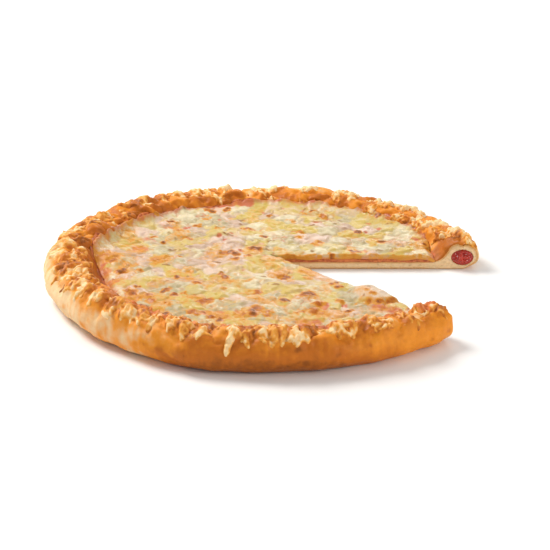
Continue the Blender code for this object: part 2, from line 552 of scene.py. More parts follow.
# %% Reading a map
def read(field, down, across):
    """The map at places in metres from its first corner, between the four nearest points."""
    i = np.clip(down / MAP_STEP, 0, field.shape[0] - 1.001)
    j = np.clip(across / MAP_STEP, 0, field.shape[1] - 1.001)
    i0, j0 = i.astype(int), j.astype(int)
    a, b = i - i0, j - j0
    near = field[i0, j0] * (1 - b) + field[i0, j0 + 1] * b
    far = field[i0 + 1, j0] * (1 - b) + field[i0 + 1, j0 + 1] * b
    return near * (1 - a) + far * a


def on_field(field, x, y):
    """A map that lies over the pizza, read at a place on it."""
    return read(field, y + FIELD / 2, x + FIELD / 2)


def warped(field, size, amount, seed):
    """The map read at places moved by random lumps of size mm, so that its borders wander."""
    down = (np.arange(field.shape[0]) * MAP_STEP)[:, None]
    across = (np.arange(field.shape[1]) * MAP_STEP)[None, :]
    down = down + amount * lumps(field.shape, size, seed)
    return read(field, down, across + amount * lumps(field.shape, size, seed + 1))


# %% Strands and domes
def window(field, at, size):
    """The part of a map within size of a place, and its points' steps down and across from it."""
    low = np.maximum(((np.array(at) - size) / MAP_STEP).astype(int), 0)
    high = np.maximum(((np.array(at) + size) / MAP_STEP).astype(int) + 2, 0)
    part = field[low[0]:high[0], low[1]:high[1]]
    down = (low[0] + np.arange(part.shape[0]))[:, None] * MAP_STEP - at[0]
    across = (low[1] + np.arange(part.shape[1]))[None, :] * MAP_STEP - at[1]
    return part, down, across


def lay_strand(field, tones, at, turn, length, width, height, bend, tone, pile=0.45, taper=0.0):
    """Lays one grated strand on a map of heights, and its tone on a map of tones.

    At p along it and q beside it, it is height * sqrt(1 - ((q - bend p^2) / w)^2) tall, where
    w = width / 2 * sqrt(1 - s^4) * (1 - taper * s) and s = 2 p / length, so its ends are blunt.
    It rises by pile times what it lies on.
    """
    part, down, across = window(field, at, length / 2 + width)
    along = down * math.cos(turn) + across * math.sin(turn)
    beside = across * math.cos(turn) - down * math.sin(turn) - bend * along**2
    share = np.clip(2 * along / length, -1, 1)
    half = width / 2 * np.sqrt(1 - share**4) * (1 - taper * share)
    bar = height * np.sqrt(np.clip(1 - (beside / np.maximum(half, 1e-6)) ** 2, 0, 1))
    part[:] = np.where(bar > 0, np.maximum(part, bar + pile * part), part)
    window(tones, at, length / 2 + width)[0][bar > 0.3 * height] = tone


def strew(field, tones, chance, count, seed, length, width, height, tone, curl=45.0):
    """Lays up to count strands. Each size is (least, most) in mm, and chance a map from 0 to 1.

    A strand's tone is least + (most - least) * random^2, so that few strands are dark.
    """
    random = np.random.default_rng(seed)
    side = np.array(field.shape) * MAP_STEP
    laid = 0
    for _ in range(count):
        at = random.random(2) * side
        sizes = [MM * (low + (high - low) * random.random()) for low, high in (length, width, height)]
        turn, bend = random.uniform(0, math.pi), random.uniform(-curl, curl)
        own_tone = tone[0] + (tone[1] - tone[0]) * random.random() ** 2
        if random.random() < read(chance, *at):
            lay_strand(field, tones, at, turn, *sizes, bend, own_tone)
            laid += 1
    return laid


def raise_dome(field, at, radius, height, power=1.0, join=np.add):
    """Joins a dome, height * (1 - (distance / radius)^2)^power, to a map, by sum or by maximum."""
    part, down, across = window(field, at, radius)
    dome = height * np.clip(1 - (down**2 + across**2) / radius**2, 0, 1) ** power
    part[:] = join(part, dome)


# %% [markdown]
# ## Meshes from arrays
#
# Each piece is arrays of points and faces. Adding them to a mesh one by one would be slow, so
# one function hands the arrays over whole. Quads lose their corners that meet, so a grid may
# end in a point, and faces are turned outwards by the sign of the volume that they hold.


# %% Faces of a grid
def numbered(grid):
    """The number of each point of a grid of points."""
    return np.arange(grid.shape[0] * grid.shape[1]).reshape(grid.shape[:2])


def looped(index):
    """A grid of point numbers whose rows close on their first point."""
    return np.concatenate([index, index[:, :1]], axis=1)


def tidy_quads(quads):
    """Quads as four-cornered faces, and as triangles where two corners are one point."""
    faces = []
    for k in range(4):
        doubled = quads[:, k] == quads[:, (k + 1) % 4]
        triangles = np.delete(quads[doubled], k, axis=1)
        whole = (triangles[:, 0] != triangles[:, 1]) & (triangles[:, 1] != triangles[:, 2])
        faces.append(triangles[whole & (triangles[:, 2] != triangles[:, 0])])
        quads = quads[~doubled]
    return [quads, *faces]


def grid_quads(index):
    """The quads between neighbouring points of a grid of point numbers."""
    corners = (index[:-1, :-1], index[1:, :-1], index[1:, 1:], index[:-1, 1:])
    return tidy_quads(np.stack(corners, -1).reshape(-1, 4))


def end_faces(index):
    """One face on the first row of a grid of point numbers, and one on the last."""
    return [index[:1, ::-1], index[-1:]]


# %% Mesh builder
def make_piece(name, points, faces, material, replaces=None, masks=None):
    """A mesh object that rides on the pizza. faces is a list of arrays of corner numbers."""
    faces = [f for f in faces if len(f)]
    corners = np.concatenate([f.ravel() for f in faces])
    sizes = np.concatenate([np.full(len(f), f.shape[1]) for f in faces])
    used, corners = np.unique(corners, return_inverse=True)
    points = points.reshape(-1, 3)[used]
    starts = np.concatenate([[0], np.cumsum(sizes)[:-1]])
    after = np.arange(len(corners)) + 1
    after[starts + sizes - 1] = starts
    first = points[corners[np.repeat(starts, sizes)]]
    crossed = np.cross(points[corners], points[corners[after]])
    volume = np.einsum("ij,ij->", first, crossed) / 6
    mesh = bpy.data.meshes.new(name)
    mesh.vertices.add(len(points))
    mesh.vertices.foreach_set("co", points.astype(np.float32).ravel())
    mesh.loops.add(len(corners))
    mesh.loops.foreach_set("vertex_index", corners.astype(np.int32))
    mesh.polygons.add(len(sizes))
    mesh.polygons.foreach_set("loop_start", starts.astype(np.int32))
    mesh.update(calc_edges=True)
    if volume < 0:
        mesh.flip_normals()
    mesh.shade_smooth()
    for label, values in (masks or {}).items():
        layer = mesh.attributes.new(label, "FLOAT", "POINT")
        layer.data.foreach_set("value", values.reshape(-1)[used].astype(np.float32))
    mesh.materials.append(material)
    piece = bpy.data.objects.new(name, mesh)
    bpy.context.scene.collection.objects.link(piece)
    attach(piece, "root")
    if replaces:
        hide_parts(replaces)
    print(f"{name}: {int((sizes - 2).sum())} triangles, {abs(volume) * 1e6:.1f} cm3")
    return piece


# %% [markdown]
# ## How the rim baked
#
# Folded dough rises in knobs about a centimetre wide, in two uneven rows, with creases
# between them. Noise can't make a crease, so the knobs are cells: each point of the map
# belongs to the nearest of the rows' random places, and the relief falls off where two places
# are equally near. Some knobs took no cheese and baked smooth and brown. The outer wall is
# smooth, with soft upright streaks.

# %% Knobs
KNOB_ROWS = (18, 32)         # mm: on the rim's inner slope, and just past its crest
KNOB_SPACING = (5, 14)       # mm, least and most
KNOB_REACH = 22 * MM         # no knob reaches further from its place
BARE_SHARE = 0.26


def cells(shape, places, size, seed):
    """Twice the way from each point of a map to its cell's border, and the cell's number.

    A point's cell is the nearest place. Twice the way to the border is the distance to the
    next nearest place less the distance to the nearest. Each cell measures distance with its
    own turn and stretch, so borders curve.
    """
    random = np.random.default_rng(seed)
    first, second = np.full(shape, size), np.full(shape, size)
    owner = np.zeros(shape, int)
    for number, at in enumerate(places):
        turn, stretch = random.uniform(0, math.pi), random.uniform(0.75, 1.25)
        nearest, down, across = window(first, at, size)
        along = (down * math.cos(turn) + across * math.sin(turn)) * stretch
        beside = (across * math.cos(turn) - down * math.sin(turn)) / stretch
        distance = np.hypot(along, beside)
        following = window(second, at, size)[0]
        following[:] = np.minimum(following, np.maximum(nearest, distance))
        window(owner, at, size)[0][distance < nearest] = number
        nearest[:] = np.minimum(nearest, distance)
    return second - first, owner


row_random = np.random.default_rng(1)
rows = []
for rise in KNOB_ROWS:
    runs = np.cumsum(row_random.uniform(*KNOB_SPACING, int(RIM_LENGTH / (KNOB_SPACING[0] * MM)))) * MM
    runs = runs[runs < RIM_LENGTH + 8 * MM]
    rows.append(np.column_stack([runs, (rise + row_random.uniform(-5, 5, len(runs))) * MM]))
knobs_at = np.concatenate(rows)
border_gap, knob_number = cells(RIM_MAP, knobs_at, KNOB_REACH, 2)
print(len(knobs_at), "knobs")

# %% Relief of the crust
SWELLS = (
    # direction and width in degrees, and height, of a long swelling of the rim
    (54, 20, 1.8 * MM),
    (90, 12, -1.3 * MM),
)
run_map = (np.arange(RIM_MAP[0]) * MAP_STEP)[:, None]
rise_map = (np.arange(RIM_MAP[1]) * MAP_STEP)[None, :]
rise_mm = rise_map / MM
degrees = np.degrees(np.interp(run_map, line_run, line_direction))
on_top = ramp(rise_mm, 8, 18) * ramp(rise_mm, 46, 36)
on_wall = ramp(rise_mm, 36, 44) * ramp(rise_mm, SKIN_PATH / MM, 56)

knob_random = np.random.default_rng(3)
knob_lift = knob_random.uniform(-1.0, 1.1, len(knobs_at)) * MM
knob_lean = knob_random.uniform(-0.20, 0.20, (len(knobs_at), 2))
knob_bare = knob_random.random(len(knobs_at)) < BARE_SHARE
knob_tone = knob_random.standard_normal(len(knobs_at))
bare = blurred(knob_bare[knob_number].astype(float), 1.2 * MM)
tone_of_knob = blurred(knob_tone[knob_number], 1.0 * MM)

# A knob is a steep edge and a wide dome, lifted and leaning by chance, lower where it is bare
knobs = 1.4 * MM * ramp(border_gap / MM, -0.4, 2.8) + 1.2 * MM * ramp(border_gap / MM, 0, 9)
leaning = (run_map - knobs_at[knob_number, 0]) * knob_lean[knob_number, 0]
leaning += (rise_map - knobs_at[knob_number, 1]) * knob_lean[knob_number, 1]
knobs += knob_lift[knob_number] + np.clip(leaning, -1.5 * MM, 1.5 * MM)
knobs -= 1.6 * MM + 0.5 * MM * knob_bare[knob_number]
knobs, bare, tone_of_knob = (
    warped(field, 6, 1.0 * MM, 8) for field in (blurred(knobs, 0.55 * MM), bare, tone_of_knob)
)
for middle, width, height in SWELLS:
    knobs = knobs + height * np.exp(-(((degrees - middle) / width) ** 2))

wall_streaks = rim_lumps(26, 4, stretch=0.14)
crust_relief = on_top * (knobs + MM * (0.24 * rim_lumps(7, 5) + 0.10 * rim_lumps(2.8, 10)))
crust_relief += on_wall * MM * (0.42 * rim_lumps(22, 6) + 0.09 * wall_streaks)
crust_relief += (on_top + on_wall) * 0.07 * MM * rim_lumps(4, 7)
crust_relief = np.clip(crust_relief, -2.4 * MM, 2.1 * MM)
print("the crust's relief goes", span(crust_relief))

# %% [markdown]
# ## Grated cheese baked on the rim
#
# Cheese strewn on the rim lies in a tangle of half-melted strands on the knobs. It leaves
# some knobs bare, and here and there it has run down the outer wall. Thousands of small rods
# could stand for the strands, but melted ones share one surface. So the cheese is one sheet
# that lies on the skin, as thick as its map says, and that dips below the skin where the map
# is empty.

# %% Strands on the rim
RIM_STRANDS = (
    # how many at most, seed, least and most length, width and height in mm, tones, curl
    (5200, 12, (3, 8), (1.2, 2.4), (0.5, 1.1), (0.0, 0.65), 70.0),
    (420, 14, (4, 8), (3.0, 5.0), (0.7, 1.3), (0.0, 0.45), 45.0),
    (90, 18, (2.5, 5), (1.4, 2.2), (0.8, 1.3), (0.75, 0.55), 45.0),
)
lower_edge = 17 + 3.4 * rim_lumps(14, 17) - 6 * ramp(degrees, 90, 70) * ramp(degrees, 8, 25)
lower_edge = np.maximum(lower_edge, 8)
spread = ramp(rise_mm, lower_edge, lower_edge + 6) * ramp(rise_mm, 41, 33)
covered = spread * ramp(rim_lumps(12, 11) - 2.6 * bare, -1.4, -0.2)
rim_cheese = 0.35 * MM * covered
rim_tones = np.full(RIM_MAP, 0.35)
print(sum(strew(rim_cheese, rim_tones, covered, *row) for row in RIM_STRANDS), "strands on the rim")

# %% Runs and rings
DRIPS = (
    # direction in degrees, width and end across the skin in mm, how toasted it is
    (-129, 5, 38, 0.15), (-122, 9, 40, 0.15), (-115, 4, 37, 0.10), (-110, 6, 41, 0.08),
    (-106, 3, 38, 0.05), (-98, 6, 46, 0.02), (-94.5, 4, 42, 0.08), (-86, 11, 41, 0.28),
    (-82, 8, 38, 0.30), (-79, 3, 39, 0.25), (-72, 6, 38, 0.25), (-66, 7, 39, 0.18),
    (-57, 6, 38, 0.18),
)
EXTRA_DRIPS = 34
FINGER_WIDTH = 3.9           # mm
RINGS = ((17, 27, 4.2), (30, 24, 3.2), (71, 31, 4.5))  # mm: from the near cut, rise, radius


def lay_on_rim(at, turn, length, width, height, bend, tone, pile, taper=0.0):
    """One strand on the rim, with its place and sizes in mm."""
    sizes = (length * MM, width * MM, height * MM, bend, tone, pile, taper)
    lay_strand(rim_cheese, rim_tones, np.array(at) * MM, turn, *sizes)


def lay_drip(run, width, end, toast_and_light, seed):
    """A run of melted cheese: a lump along the crest, and fingers that narrow down the wall."""
    random = np.random.default_rng(seed)
    crest = CREST / MM
    at = (run, crest + random.uniform(1, 4))
    turn, tone = random.uniform(-0.4, 0.4), toast_and_light + random.uniform(0.1, 0.25)
    lay_on_rim(at, turn, width + 3, 5, 1.4, 0, tone, 0.3)
    fingers = max(1, round(width / FINGER_WIDTH))
    for finger in range(fingers):
        start = crest + random.uniform(-3, 3)
        own_end = end - random.uniform(0, 5) * (finger > 0)
        at = (run + random.uniform(-0.45, 0.45) * width * (fingers > 1), (start + own_end) / 2)
        turn = math.pi / 2 + random.uniform(-0.3, 0.3)
        size = FINGER_WIDTH * random.uniform(0.75, 1.2)
        height, bend = random.uniform(0.8, 1.5), random.uniform(-30, 30)
        tone, taper = toast_and_light + random.uniform(0.03, 0.18), random.uniform(0.0, 0.35)
        lay_on_rim(at, turn, own_end - start, size, height, bend, tone, 0.35, taper)


def lay_ring(at, radius, seed):
    """A strand that curled up into a ring: short bars laid round a circle."""
    random = np.random.default_rng(seed)
    for around in np.linspace(0, 2 * math.pi, 9, endpoint=False):
        place = (at[0] + radius * math.cos(around), at[1] + radius * math.sin(around))
        size, height = random.uniform(1.9, 2.6), random.uniform(1.0, 1.5)
        lay_on_rim(place, around + math.pi / 2, 1.3 * radius, size, height, 0, 0.05, 0.2)


# %% Laying the runs and rings
drip_random = np.random.default_rng(13)
drip_directions = np.radians([drip[0] for drip in DRIPS])
drip_runs = np.interp(drip_directions, line_direction - 2 * math.pi, line_run) / MM
for seed, (run, drip) in enumerate(zip(drip_runs, DRIPS)):
    lay_drip(run, *drip[1:], 100 + seed)
for seed in range(EXTRA_DRIPS):
    run = drip_random.uniform(0, drip_runs.min() - 8)
    width, end = drip_random.uniform(3, 9), drip_random.uniform(34, 41)
    lay_drip(run, width, end, drip_random.uniform(0.05, 0.25), 200 + seed)
for seed, (gap, rise, radius) in enumerate(RINGS):
    lay_ring((RIM_LENGTH / MM - gap, rise), radius, 300 + seed)
print(len(DRIPS) + EXTRA_DRIPS, "runs and", len(RINGS), "rings")

# %% Thickness of the rim's cheese
rim_tones = blurred(rim_tones, 0.45 * MM)
crumbly = 0.34 * rim_lumps(2.6, 15) + 0.16 * rim_lumps(1.5, 16)
rim_cheese += np.minimum(rim_cheese, 1.0 * MM) * crumbly
rim_cheese = np.clip(blurred(rim_cheese, 0.32 * MM), 0, 3.2 * MM)
print("the rim's cheese is up to", in_mm(rim_cheese.max()), "mm thick")

# %% [markdown]
# ## The dough
#
# The dough is one closed body. A whole round could be cut by a boolean, but that leaves
# ragged triangles along the cuts. So a section runs from the tip of the wedge out over the
# base's top, up the foot, over the rim and back along the underside to the tip, and is
# carried round from cut to cut. The sections lie closer near the cuts, where the skin rounds
# over into them.

# %% The dressed skin
END_ROUNDING = 2.4 * MM


def end_inset(run):
    """How far the skin is drawn in near a cut: a quarter circle over END_ROUNDING."""
    gap = np.clip(1 - np.minimum(run, RIM_LENGTH - run) / END_ROUNDING, 0, 1)
    return END_ROUNDING * (1 - np.sqrt(np.clip(1 - gap**2, 0, 1)))


def onto_cuts(points, run):
    """Moves points at the two ends of the rim back onto their cut's plane."""
    for at_end, turn in ((run[:, 0] <= 0, 0.0), (run[:, 0] >= RIM_LENGTH, CUT_TURN)):
        out = np.array([-math.sin(turn), math.cos(turn)])
        flat = points[at_end, :, :2]
        points[at_end, :, :2] = flat - ((flat - TIP) @ out)[..., None] * out
    return points


def dressed_skin(run, rise, cover=0.0):
    """The skin with its relief, and with a cover of that thickness on it."""
    here, normal = skin_frame(run, rise)
    rounded = ramp(rise, 0, 10 * MM) * ramp(rise, SKIN_PATH, SKIN_PATH - 6 * MM)
    lift = read(crust_relief, run, rise) - 0.6 * end_inset(run) * rounded + cover
    points = onto_cuts(here + normal * lift[..., None], run)
    points[..., 2] = np.maximum(points[..., 2], 0)
    return points


# %% Dough
DOUGH_SECTIONS = 560
SKIN_POINTS = 96
BASE_POINTS = 5
UNDERSIDE_POINTS = 34

end_runs = np.array([0, 0.1, 0.3, 0.6, 1.0, 1.6, 2.2]) * MM
middle_runs = np.linspace(3 * MM, RIM_LENGTH - 3 * MM, DOUGH_SECTIONS - 2 * len(end_runs))
dough_runs = np.concatenate([end_runs, middle_runs, RIM_LENGTH - end_runs[::-1]])[:, None]
dough_rises = np.linspace(0, SKIN_PATH, SKIN_POINTS)[None, :]
skin_points = dressed_skin(dough_runs, dough_rises)
tip_top, tip_below = np.array([*TIP, BASE_THICKNESS]), np.array([*TIP, 0.0])
base_share = np.linspace(0, 1, BASE_POINTS, endpoint=False)[None, :, None]
base_points = tip_top + (skin_points[:, :1] - tip_top) * base_share
under_share = np.linspace(1, 0, UNDERSIDE_POINTS + 1)[None, 1:, None]
under_points = tip_below + (skin_points[:, -1:] - tip_below) * under_share
dough_grid = np.concatenate([base_points, skin_points, under_points], axis=1)

numbers = numbered(dough_grid)
numbers[:, 0] = numbers[0, 0]
numbers[:, -1] = numbers[0, -1]
dough_faces = grid_quads(numbers) + end_faces(numbers)
print("dough grid:", dough_grid.shape[:2])

# %% [markdown]
# The crust's colour comes from one number, from 0 for pale dough to 1 for dark brown. Mostly
# it is how baked the crust is, but painted light is in it too. The wall is pale at the left
# and brown at the front. Low on the front wall, near the table, it is darker: painted shade,
# for the shadow at the wall's foot. At the back the crest is paler: a painted highlight where
# the lamp behind lights the tops. The knobs each have their own tone, and the underside, which
# lay on hot metal, is brown in patches. *Stain* is where the sauce's juice dried on the crust.
# The two could be painted by hand, but sums of ramps and lumps keep them on the shapes that
# they belong to.

# %% How brown the dough is, with the light painted on it
FRECKLES = 150
leftwards = ramp(degrees, 203, 221)
towards_front = ramp(degrees, 233, 256)
past_front = ramp(degrees, 280, 312)
behind = ramp(degrees, 5, 40) * ramp(degrees, 165, 110)
past_far_cut = ramp(degrees, 15, 35)
calm = 1 - 0.6 * past_front
# Painted shade: low on the front wall the crust darkens towards the table, for the shadow at its foot.
painted_table_shade = ramp(rise_mm, 41, 56) * towards_front * (1 - past_front)
wall_bake_and_shade = 0.14 + 0.15 * leftwards + 0.39 * towards_front - 0.24 * past_front + 0.26 * behind
uneven = 0.035 * wall_streaks + 0.05 * rim_lumps(14, 25) + 0.03 * rim_lumps(6, 28)
wall_bake_and_shade = wall_bake_and_shade + 0.38 * painted_table_shade + uneven * calm
top_bake = 0.60 + 0.16 * np.clip(tone_of_knob, -1.6, 1.3) + 0.09 * rim_lumps(9, 21)
top_bake = top_bake - 0.16 * past_front + 0.08 * ramp(degrees, 95, 115)
top_bake = top_bake + 0.12 * ramp(rise_mm, 20, 10)
bake_and_light_map = top_bake + (wall_bake_and_shade - top_bake) * ramp(rise_mm, 31, 42)
bake_and_light_map += 0.05 * rim_lumps(30, 22) * calm
# Painted highlight: the crest at the back is paler, where the lamp behind lights the tops.
bake_and_light_map -= 0.12 * ramp(degrees, 160, 130) * past_far_cut * ramp(rise_mm, 20, 27)
bake_and_light_map = np.minimum(bake_and_light_map, 0.86 + 0.06 * painted_table_shade)
freckles = np.random.default_rng(24)
for _ in range(FRECKLES):
    at = freckles.random(2) * (RIM_LENGTH, 24 * MM) + (0, 28 * MM)
    raise_dome(bake_and_light_map, at, freckles.uniform(1.0, 2.8) * MM, freckles.uniform(0.06, 0.24), 1.2)
stain_map = ramp(rise_mm, 12, 4) * ramp(rim_lumps(12, 23), -0.6, 0.8)
front_smears = ramp(rim_lumps(10, 27), -0.4, 0.7) * ramp(degrees, 212, 235)
stain_map += front_smears * ramp(rise_mm, 13, 18) * ramp(rise_mm, 29, 25)
print("bake from", bake_and_light_map.min().round(2), "to", bake_and_light_map.max().round(2))

# %% Crust material
baked_crust, tree, shader = new_material("baked_crust", 0.5, 0.18, 0.06, (1.0, 0.4, 0.15))
fleck = worked(tree, "MULTIPLY", worked(tree, "SUBTRACT", noise(tree, 260, 5.0, 0.6), 0.5), 0.28)
# The baked tone here also carries the painted shade by the table and the painted highlight on the back
# crest.
browned_and_lit = worked(tree, "ADD", attribute(tree, "bake_and_light"), fleck)
pale_dough = mixed(tree, noise(tree, 90), (0.84, 0.60, 0.33), (0.86, 0.56, 0.29))
tones = (0.84, 0.295, 0.022), (0.54, 0.15, 0.012), (0.27, 0.075, 0.008)
stained = stepped(tree, ragged_map(tree, "stain", 400.0, 0.6), 0.35, 0.9, 0.0, 0.75)
crust_colour = mixed(tree, stained, toasted(tree, pale_dough, browned_and_lit, *tones), (0.62, 0.14, 0.03))
dress(tree, shader, crust_colour, grained(tree, 320.0, 700.0, 0.25), 0.35 * MM)
tree.links.new(stepped(tree, browned_and_lit, 0.1, 0.9, 0.62, 0.42), shader.inputs["Roughness"])

# %% Dressed dough
base_bake = np.full(base_points.shape[:2], 0.2)
under_patches = on_field(field_lumps(22, 26), under_points[..., 0], under_points[..., 1])
under_bake = 0.42 + 0.17 * under_patches
skin_bake_and_light, skin_stain = (read(field, dough_runs, dough_rises) for field in (bake_and_light_map, stain_map))
dough_masks = {
    "bake_and_light": np.concatenate([base_bake, skin_bake_and_light, under_bake], axis=1),
    "stain": np.concatenate([base_bake * 0, skin_stain, under_bake * 0], axis=1),
}
make_piece("dough_dressed", dough_grid, dough_faces, baked_crust, "dough", dough_masks)

# %% [markdown]
# The sheet of baked cheese has the dressed skin with the cheese's thickness for its top. Two
# rows of points below the skin, where nothing shows, close it.

# %% Sheet of baked cheese
SHEET_SECTIONS = 1300
SHEET_POINTS = 71
SHEET_RISES = (6 * MM, 48 * MM)
SHEET_DEPTH = 1.5 * MM       # of its underside below the skin
DIP = 0.5 * MM               # how far the sheet lies below the skin where there is no cheese

sheet_runs = np.linspace(0, RIM_LENGTH, SHEET_SECTIONS)[:, None]
sheet_rises = np.linspace(*SHEET_RISES, SHEET_POINTS)[None, :]
thickness = read(rim_cheese, sheet_runs, sheet_rises)
sheet_top = dressed_skin(sheet_runs, sheet_rises, thickness - DIP * ramp(thickness, 0.5 * MM, 0))
sheet_below = dressed_skin(sheet_runs, sheet_rises[:, [-1, 0]], -SHEET_DEPTH)
sheet_grid = np.concatenate([sheet_top, sheet_below], axis=1)
numbers = numbered(sheet_grid)
sheet_faces = grid_quads(looped(numbers)) + end_faces(numbers)
print("sheet grid:", sheet_grid.shape[:2])

# %% [markdown]
# The sheet takes its toasting from its strands' tones. The hollows between strands are darker,
# partly as thin cheese that toasted and partly as painted shade. The highest tips are darker,
# and the outer wall is paler. At the back the sheet is paler: partly a paler cheese, partly a
# painted highlight where the lamp behind lights the tops, above all on the back-left crest.

# %% How toasted the sheet is, with painted shade and highlight
speckle = 0.12 * rim_lumps(8, 31) + 0.09 * rim_lumps(2.8, 32)
# The hollows are darker: partly thin cheese that toasted, partly painted shade between the strands.
valleys = ramp(rim_cheese / MM, 1.2, 0.3)
tips = ramp((crust_relief + rim_cheese) / MM, 2.4, 3.8) * ramp(rim_lumps(7, 33), 0.1, 1.4)
toast_and_light_map = 0.13 + 0.9 * rim_tones + speckle + 0.26 * valleys + 0.09 * tone_of_knob + 0.28 * tips
toast_and_light_map += 0.12 * ramp(rise_mm, 24, 14) - 0.24 * ramp(rise_mm, 31, 40)
# Paler at the back: partly a paler cheese, partly painted highlight from the lamp behind. On the
# back-left crest it is painted highlight.
toast_and_light_map -= 0.22 * ramp(degrees, 130, 90) * past_far_cut
toast_and_light_map -= 0.16 * ramp(degrees, 150, 120) * past_far_cut * ramp(rise_mm, 19, 26)
sheet_masks = {}
for label, field in (("toast_and_light", np.minimum(toast_and_light_map, 0.85)), ("stain", stain_map)):
    values = read(field, sheet_runs, sheet_rises)
    sheet_masks[label] = np.concatenate([values, values[:, :2]], axis=1)
print("toast from", toast_and_light_map.min().round(2), "to", toast_and_light_map.max().round(2))

# %% Toasted cheese
toasted_cheese, tree, shader = new_material("toasted_cheese", 0.45, 0.25, 0.1, (1.0, 0.5, 0.2))
cream = mixed(tree, noise(tree, 110), (0.93, 0.71, 0.42), (0.92, 0.61, 0.26))
tones = (0.84, 0.37, 0.050), (0.58, 0.17, 0.014), (0.30, 0.09, 0.008)
sheet_colour = toasted(tree, cream, ragged_map(tree, "toast_and_light", 700.0, 0.45), *tones)
stained = stepped(tree, attribute(tree, "stain"), 0.35, 0.9, 0.0, 0.6)
sheet_colour = mixed(tree, stained, sheet_colour, (0.66, 0.15, 0.04))
dress(tree, shader, sheet_colour, grained(tree, 500.0, 1200.0, 0.3), 0.3 * MM)
make_piece("rim_cheese", sheet_grid, sheet_faces, toasted_cheese, None, sheet_masks)

# %% [markdown]
# ## Layers spread from the tip
#
# The sauce and the cheese are flat layers that end in a rounded lip all round: at the two cuts,
# where the melted cheese sags over the edge, and at the foot of the rim. A layer is a fan of
# triangles that starts at the tip of the wedge. Row k of the fan has a fixed number of places
# more than row k - 1, so its triangles stay alike from the tip to the rim.


# %% Fan
def fan(rows, sectors):
    """Each place's share of the way round and out, the triangles, and the border as a loop.

    Row k has sectors * k + 1 places. A triangle stands on each step of row k, and another
    hangs from each step of row k - 1.
    """
    counts = np.concatenate([[1], sectors * np.arange(1, rows + 1) + 1])
    starts = np.concatenate([[0], np.cumsum(counts)])
    out = np.repeat(np.arange(rows + 1) / rows, counts)
    number = np.arange(starts[-1]) - np.repeat(starts[:-1], counts)
    around = number / np.maximum(np.repeat(counts, counts) - 1, 1)
    faces = []
    for k in range(1, rows + 1):
        step = np.arange(sectors * k)
        inner, outer = starts[k - 1] + step - step // k, starts[k] + step
        hanging = step % k != k - 1
        faces.append(np.stack([inner, outer, outer + 1], 1))
        faces.append(np.stack([inner, outer + 1, inner + 1], 1)[hanging])
    first, last = starts[:-1], starts[1:] - 1
    border = np.concatenate([first[:-1], np.arange(first[-1], last[-1]), last[:0:-1]])
    return around, out, np.concatenate(faces), border


# %% A layer with a lip
HUB_GAP = 10 * MM            # from the tip to the underside's hub, away from the wedge
UNDERSIDE_SHARES = (0.985, 0.968, 0.95, 0.93, 0.905, 0.87)
LIP_ANGLES = np.radians([60, 30, 0, -30, -60, -90])
SECTORS = 6


def spread_layer(rows, edge, top, under, lip):
    """Points and faces of a layer with a lip, closed below.

    edge gives the outer radius at a direction, and top and under the heights at (x, y). lip
    gives, at the border's places, how far the lip bulges and how far it droops. The lip's
    section is half an ellipse from the top's edge to the underside's, at an angle a from +90
    to -90 degrees: bulge * cos(a) outwards, and lowered by droop * cos(a) * (1 - sin(a)) / 2.
    The underside is rings that follow what the layer lies on, at shares of the way to the
    border from a hub beside the tip, and a fan of triangles inside them.
    """
    around, out, triangles, border = fan(rows, SECTORS)
    turn = around * CUT_TURN
    x, y = from_tip(turn, out * reach(turn, edge))
    points = [np.stack([x, y, top(x, y)], -1)]
    loop = points[0][border]
    step = np.roll(loop, -1, 0) - np.roll(loop, 1, 0)
    outwards = unit(np.stack([step[:, 1], -step[:, 0]], -1))
    bulge, droop = lip(loop[:, 0], loop[:, 1], turn[border])
    bottom = under(loop[:, 0], loop[:, 1])
    half = (loop[:, 2] - bottom) / 2
    for a in LIP_ANGLES:
        flat = loop[:, :2] + outwards * (bulge * math.cos(a))[:, None]
        up = bottom + half * (1 + math.sin(a)) - droop * math.cos(a) * (1 - math.sin(a)) / 2
        points.append(np.column_stack([flat, up]))
    hub = TIP + HUB_GAP * np.array([math.cos(CUT_TURN / 2), math.sin(CUT_TURN / 2)])
    for share in UNDERSIDE_SHARES:
        flat = hub + (loop[:, :2] - hub) * share
        points.append(np.column_stack([flat, under(*flat.T)]))
    previous, faces, count = border, [triangles], len(x)
    for _ in points[1:]:
        row = count + np.arange(len(border))
        faces += grid_quads(looped(np.stack([previous, row])))
        previous, count = row, count + len(row)
    points.append(np.array([[*hub, under(*hub)]]))
    faces.append(np.stack([previous, np.full(len(previous), count), np.roll(previous, -1)], 1))
    return np.concatenate(points), faces


def on_cut(turn):
    """Whether a border's place is on one of the two cuts, from its turn."""
    return (turn <= 1e-9) | (turn >= CUT_TURN - 1e-9)


# %% [markdown]
# ## The melted cheese
#
# Two grated cheeses were strewn over the sauce: a white one, and a yellow one that stays
# yellow. Melted, they have run together into pools with soft creases between them, and with
# thin places where the sauce shows. Blisters rose, and their tops toasted orange and brown.
# Noise alone would give cloudy patches, and the real ones have borders. So the strands give
# the relief its grain, and the pools are cells, as the rim's knobs are.

# %% Melted strands
STRAND_LAYERS = 3
WHITE_STRANDS = (9, 20), (2.4, 4.4), (0.5, 1.0), (0.0, 0.3)
YELLOW_STRANDS = (6, 14), (2.4, 4.2), (0.4, 0.9), (1.0, 0.5)

